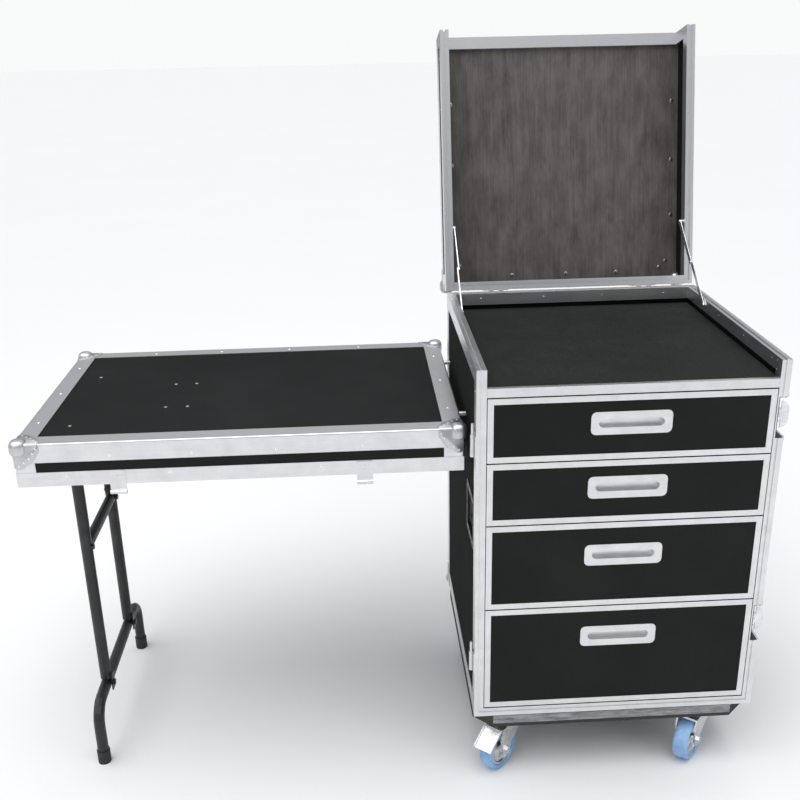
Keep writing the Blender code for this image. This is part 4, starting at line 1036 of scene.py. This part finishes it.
# Rivet tails and washers inside the lid, where the photo shows them: (from the left, from the hinge)
lidTails = {
    "spots": (
        (0.030, 0.310), (0.030, 0.454), (0.5735, 0.177), (0.5735, 0.311), (0.5735, 0.451),
        (0.175, 0.041), (0.310, 0.041), (0.437, 0.041), (0.043, 0.068), (0.561, 0.065),
        (0.545, 0.050),
    ),
    "hingeBack": 0.008,        # the hinge line behind the case's rear
    "washer": 0.0046,
    "washerHigh": 0.0009,
    "washerEdge": 0.0003,
    "washerCrown": 0.8,
    "tail": 0.0022,
    "tailHigh": 0.0026,
    "soften": (0.0002, 0.0001),      # how far the tail's and washer's edges drop
    "steps": 12,
}


def lidTailPiece():
    washer, tail = lidTails["washer"], lidTails["tail"]
    high, low = lidTails["tailHigh"], lidTails["washerHigh"]
    tailDrop, washerDrop = lidTails["soften"]
    profile = [
        (0, high), (tail, high - tailDrop), (tail, low),
        (washer * lidTails["washerCrown"], low - washerDrop), (washer, lidTails["washerEdge"]), (washer, 0),
    ]
    template = turnedMesh("rivetTail", profile, lidTails["steps"])
    z = case["lidTop"] - case["skin"] - case["panel"]
    hingeY = case["deep"] + lidTails["hingeBack"]
    spots = [(onLid(x, hingeY - along, z), lidWay(0, 0, -1)) for x, along in lidTails["spots"]]
    headPiece("lidRivetTails", "lid", spots, template, dullBolt)


lidTailPiece()


# Fastenings of the small fittings
fittings = {
    "proud": 0.0018,                          # leaves and flanges stand this far out
    "latches": (0.8165, 0.3575),              # heights of their middles
    "latchRivets": ((0.0506, 0.034), (0.0506, -0.034), (0.012, 0.0456), (0.038, 0.0456),
                    (0.012, -0.0456), (0.038, -0.0456)),
    "liftHinges": (0.754, 0.266),             # heights of their lower ends
    "liftRivets": (0.010, 0.036),
    "liftIn": 0.0235,
    "lidHingeIn": 0.120,
    "lidHingeRivets": (-0.021, 0, 0.021),
    "bodyLeafHeight": 0.9120,
    "lidLeafHeight": 0.9520,
    "coverHingeTop": 0.072,                   # above a lift-off hinge's lower end
    "coverHingeRivets": (0.007, 0.016, 0.025),
    "coverHingeProud": 0.0021,
    "coverHingeUp": 0.019,
    "catchRivets": (-0.015, 0.015),
    "catchUp": 0.0155,
}


def lidHingeSpots():
    inset = fittings["lidHingeIn"]
    return [middle + off for middle in (inset, case["wide"] - inset) for off in fittings["lidHingeRivets"]]


def fittingPiece(name, body, spots):
    headPiece(name, body, spots, smallRivet, brightZinc)


def bodyFittings():
    proud = fittings["proud"]
    spots = []
    for z in fittings["latches"]:
        for y, up in fittings["latchRivets"]:
            spots.append((onCase(case["wide"] + proud, y, z + up), caseWay(1, 0, 0)))
    for low in fittings["liftHinges"]:
        for up in fittings["liftRivets"]:
            spots.append((onCase(-proud, fittings["liftIn"], low + up), caseWay(-1, 0, 0)))
    for x in lidHingeSpots():
        spots.append((onCase(x, case["deep"] + proud, fittings["bodyLeafHeight"]), caseWay(0, 1, 0)))
    fittingPiece("fittingRivetsBody", "case", spots)


def lidFittings():
    y, z = case["deep"] + fittings["proud"], fittings["lidLeafHeight"]
    fittingPiece("fittingRivetsLid", "lid", [(onLid(x, y, z), lidWay(0, 1, 0)) for x in lidHingeSpots()])


def coverFittings():
    # The cover lies turned, so heights on the case run leftwards from the table's right end
    right, rim = case["tableRight"] + case["bodyLow"], case["tableRim"]
    front = case["tableFront"] - fittings["coverHingeProud"]
    back = case["tableBack"] + fittings["proud"]
    spots = []
    for low in fittings["liftHinges"]:
        for offset in fittings["coverHingeRivets"]:
            x = right - low - fittings["coverHingeTop"] - offset
            spots.append((onCase(x, front, rim + fittings["coverHingeUp"]), caseWay(0, -1, 0)))
    for height in fittings["latches"]:
        for offset in fittings["catchRivets"]:
            x = right - height + offset
            spots.append((onCase(x, back, rim + fittings["catchUp"]), caseWay(0, 1, 0)))
    fittingPiece("fittingRivetsCover", "cover", spots)


handle = {
    "middle": (0.095, 0.5925),
    "proud": 0.0002,
    "rivets": [(y, z) for y in (-0.0545, 0.0545) for z in (-0.047, 0, 0.047)]
    + [(y, z) for y in (-0.024, 0.024) for z in (-0.0497, 0.0497)],
}


def handleRivets():
    middleY, middleZ = handle["middle"]
    for side, x, out in (("left", -handle["proud"], -1), ("right", case["wide"] + handle["proud"], 1)):
        spots = [(onCase(x, middleY + y, middleZ + z), caseWay(out, 0, 0)) for y, z in handle["rivets"]]
        headPiece(f"handleRivets_{side}", "case", spots, smallRivet, blackPowder)


# Bolts that come up through the table top from the leg and from its brace
tableBolts = {
    "leg": ((-0.812, 0.482), (-0.809, 0.171)),
    "brace": ((-0.630, -0.584), (0.264, 0.414)),
}


def tableBoltPiece():
    z = case["tableTop"] - case["skin"]
    acrossBrace, alongBrace = tableBolts["brace"]
    places = [*tableBolts["leg"], *[(x, y) for x in acrossBrace for y in alongBrace]]
    spots = [(onCase(x, y, z), caseWay(0, 0, 1)) for x, y in places]
    headPiece("tableBolts", "cover", spots, headMesh("panHead", panHead), dullBolt)


bodyFittings()
lidFittings()
coverFittings()
handleRivets()
tableBoltPiece()
print("fittings fastened")


# Castor wheels: a tread, a pressed centre and its bearing caps in place of the plain CAD wheel
wheel = {
    "radius": 0.050,
    "half": 0.016,
    "core": 0.0385,
    "innerEdge": ((0, 0.0035), (0.0020, 0.0005), (0.0045, 0)),     # out from the core, down from the side
    "outerEdge": ((0.0035, 0.0002), (0.0010, 0.0022), (0.0001, 0.0055)),    # in from the tread, down
    "flatHalf": 0.004,
    "cap": ((0.0056, 0.0165), (0.0105, 0.0165), (0.0118, 0.0150), (0.0125, 0.0105)),    # (radius, height)
    "web": ((0.0165, 0.0085), (0.0290, 0.0080), (0.0325, 0.0092), (0.0350, 0.0122), (0.0381, 0.0124)),
    "steps": 48,
    "centreSharp": 30,
}


def bothSides(profile):
    # Closes a half profile with its mirror image
    return [*profile, *[(radius, -z) for radius, z in reversed(profile)], profile[0]]


def buildWheels():
    radius, half, core = wheel["radius"], wheel["half"], wheel["core"]
    crown = [(core + out, half - down) for out, down in wheel["innerEdge"]]
    crown += [(radius - inward, half - down) for inward, down in wheel["outerEdge"]]
    crown.append((radius, wheel["flatHalf"]))
    treadMesh = turnedMesh("treadTemplate", bothSides(crown), wheel["steps"])
    dish = [*wheel["cap"], *wheel["web"]]
    centreMesh = turnedMesh("centreTemplate", bothSides(dish), wheel["steps"])
    for number in numbers:
        joint = joints[f"castor_{number}_roll"]
        body = joint["child"]
        place, way = Vector(joint["pos_m"]), Vector(joint["axis"])
        shape = bmesh.new()
        stamp(shape, treadMesh, place, way)
        makePiece(f"castorTread_{number}", shape, body, blueTread)
        shape = bmesh.new()
        stamp(shape, centreMesh, place, way)
        sharp = wheel["centreSharp"]
        centre = makePiece(f"castorCentre_{number}", shape, body, brightZinc, sharp)
        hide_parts(f"castor_{number}_wheel")


buildWheels()
print("castor wheels built")


# Floor and light
studio = {
    "floor": (0.80, 0.80, 0.80),
    "floorPaler": 1.03,
    "floorTone": 0.8,
    "floorRough": 0.85,
    "floorSize": 40,
    "backdrop": (0.945, 0.95, 0.955),     # what shows past the floor's far edge
    "wall": (0.19, 0.195, 0.205),         # the room as the metal and laminate reflect it
    "ceiling": (0.90, 0.915, 0.94),
    "ceilingFrom": (0.12, 0.70),
    "lamps": (                            # name, place, what it aims at, size, power
        ("keyLamp", (-1.9, -3.0, 2.2), (0.1, -0.1, 0.6), 1.8, 14.0),
        ("fillLamp", (2.6, -2.6, 1.3), (0.3, 0.0, 0.6), 1.6, 8.0),
        ("topLamp", (0.3, -0.5, 3.6), (0.2, 0.0, 0.5), 2.6, 17.0),
        ("sideLamp", (-3.4, 0.4, 1.6), (0.0, 0.2, 0.6), 1.6, 5.0),
    ),
    "evenLight": 1.30,
    "evenSpread": 60.0,
    "evenTurn": (12, -14, 0),
}


def layFloor():
    shape = bmesh.new()
    bmesh.ops.create_grid(shape, x_segments=2, y_segments=2, size=studio["floorSize"])
    mesh = bpy.data.meshes.new("floor")
    shape.to_mesh(mesh)
    shape.free()
    paper = bpy.data.materials.new("paleFloor")
    paper.use_nodes = True
    tree = paper.node_tree
    shader = tree.nodes["Principled BSDF"]
    tone = noise(tree, coordinates(tree), studio["floorTone"], 3)
    paler = [value * studio["floorPaler"] for value in studio["floor"]]
    tree.links.new(mixColours(tree, tone, studio["floor"], paler), shader.inputs["Base Color"])
    shader.inputs["Roughness"].default_value = studio["floorRough"]
    mesh.materials.append(paper)
    floor = bpy.data.objects.new("floor", mesh)
    bpy.context.scene.collection.objects.link(floor)


def lightRoom():
    world = bpy.data.worlds.new("studioWorld")
    world.use_nodes = True
    tree = world.node_tree
    height = axes(tree, addNode(tree, "ShaderNodeTexCoord").outputs["Generated"])["Z"]
    upward = share(tree, height, *studio["ceilingFrom"])
    room = mixColours(tree, upward, studio["wall"], studio["ceiling"])
    seen = addNode(tree, "ShaderNodeLightPath").outputs["Is Camera Ray"]
    shown = mixColours(tree, seen, room, studio["backdrop"])
    tree.links.new(shown, tree.nodes["Background"].inputs["Color"])
    bpy.context.scene.world = world


def placeLamps():
    for name, place, target, size, power in studio["lamps"]:
        lamp = bpy.data.lights.new(name, "AREA")
        lamp.shape = "DISK"
        lamp.size = size
        lamp.energy = power
        holder = bpy.data.objects.new(name, lamp)
        holder.location = place
        aim = Vector(target) - Vector(place)
        holder.rotation_euler = aim.to_track_quat("-Z", "Y").to_euler()
        bpy.context.scene.collection.objects.link(holder)


def addEvenLight():
    # A broad high light that keeps the floor pale far from the lamps
    lamp = bpy.data.lights.new("evenLight", "SUN")
    lamp.energy = studio["evenLight"]
    lamp.angle = math.radians(studio["evenSpread"])
    holder = bpy.data.objects.new("evenLight", lamp)
    holder.rotation_euler = [math.radians(angle) for angle in studio["evenTurn"]]
    bpy.context.scene.collection.objects.link(holder)


layFloor()
lightRoom()
placeLamps()
addEvenLight()
print("floor and lamps set")
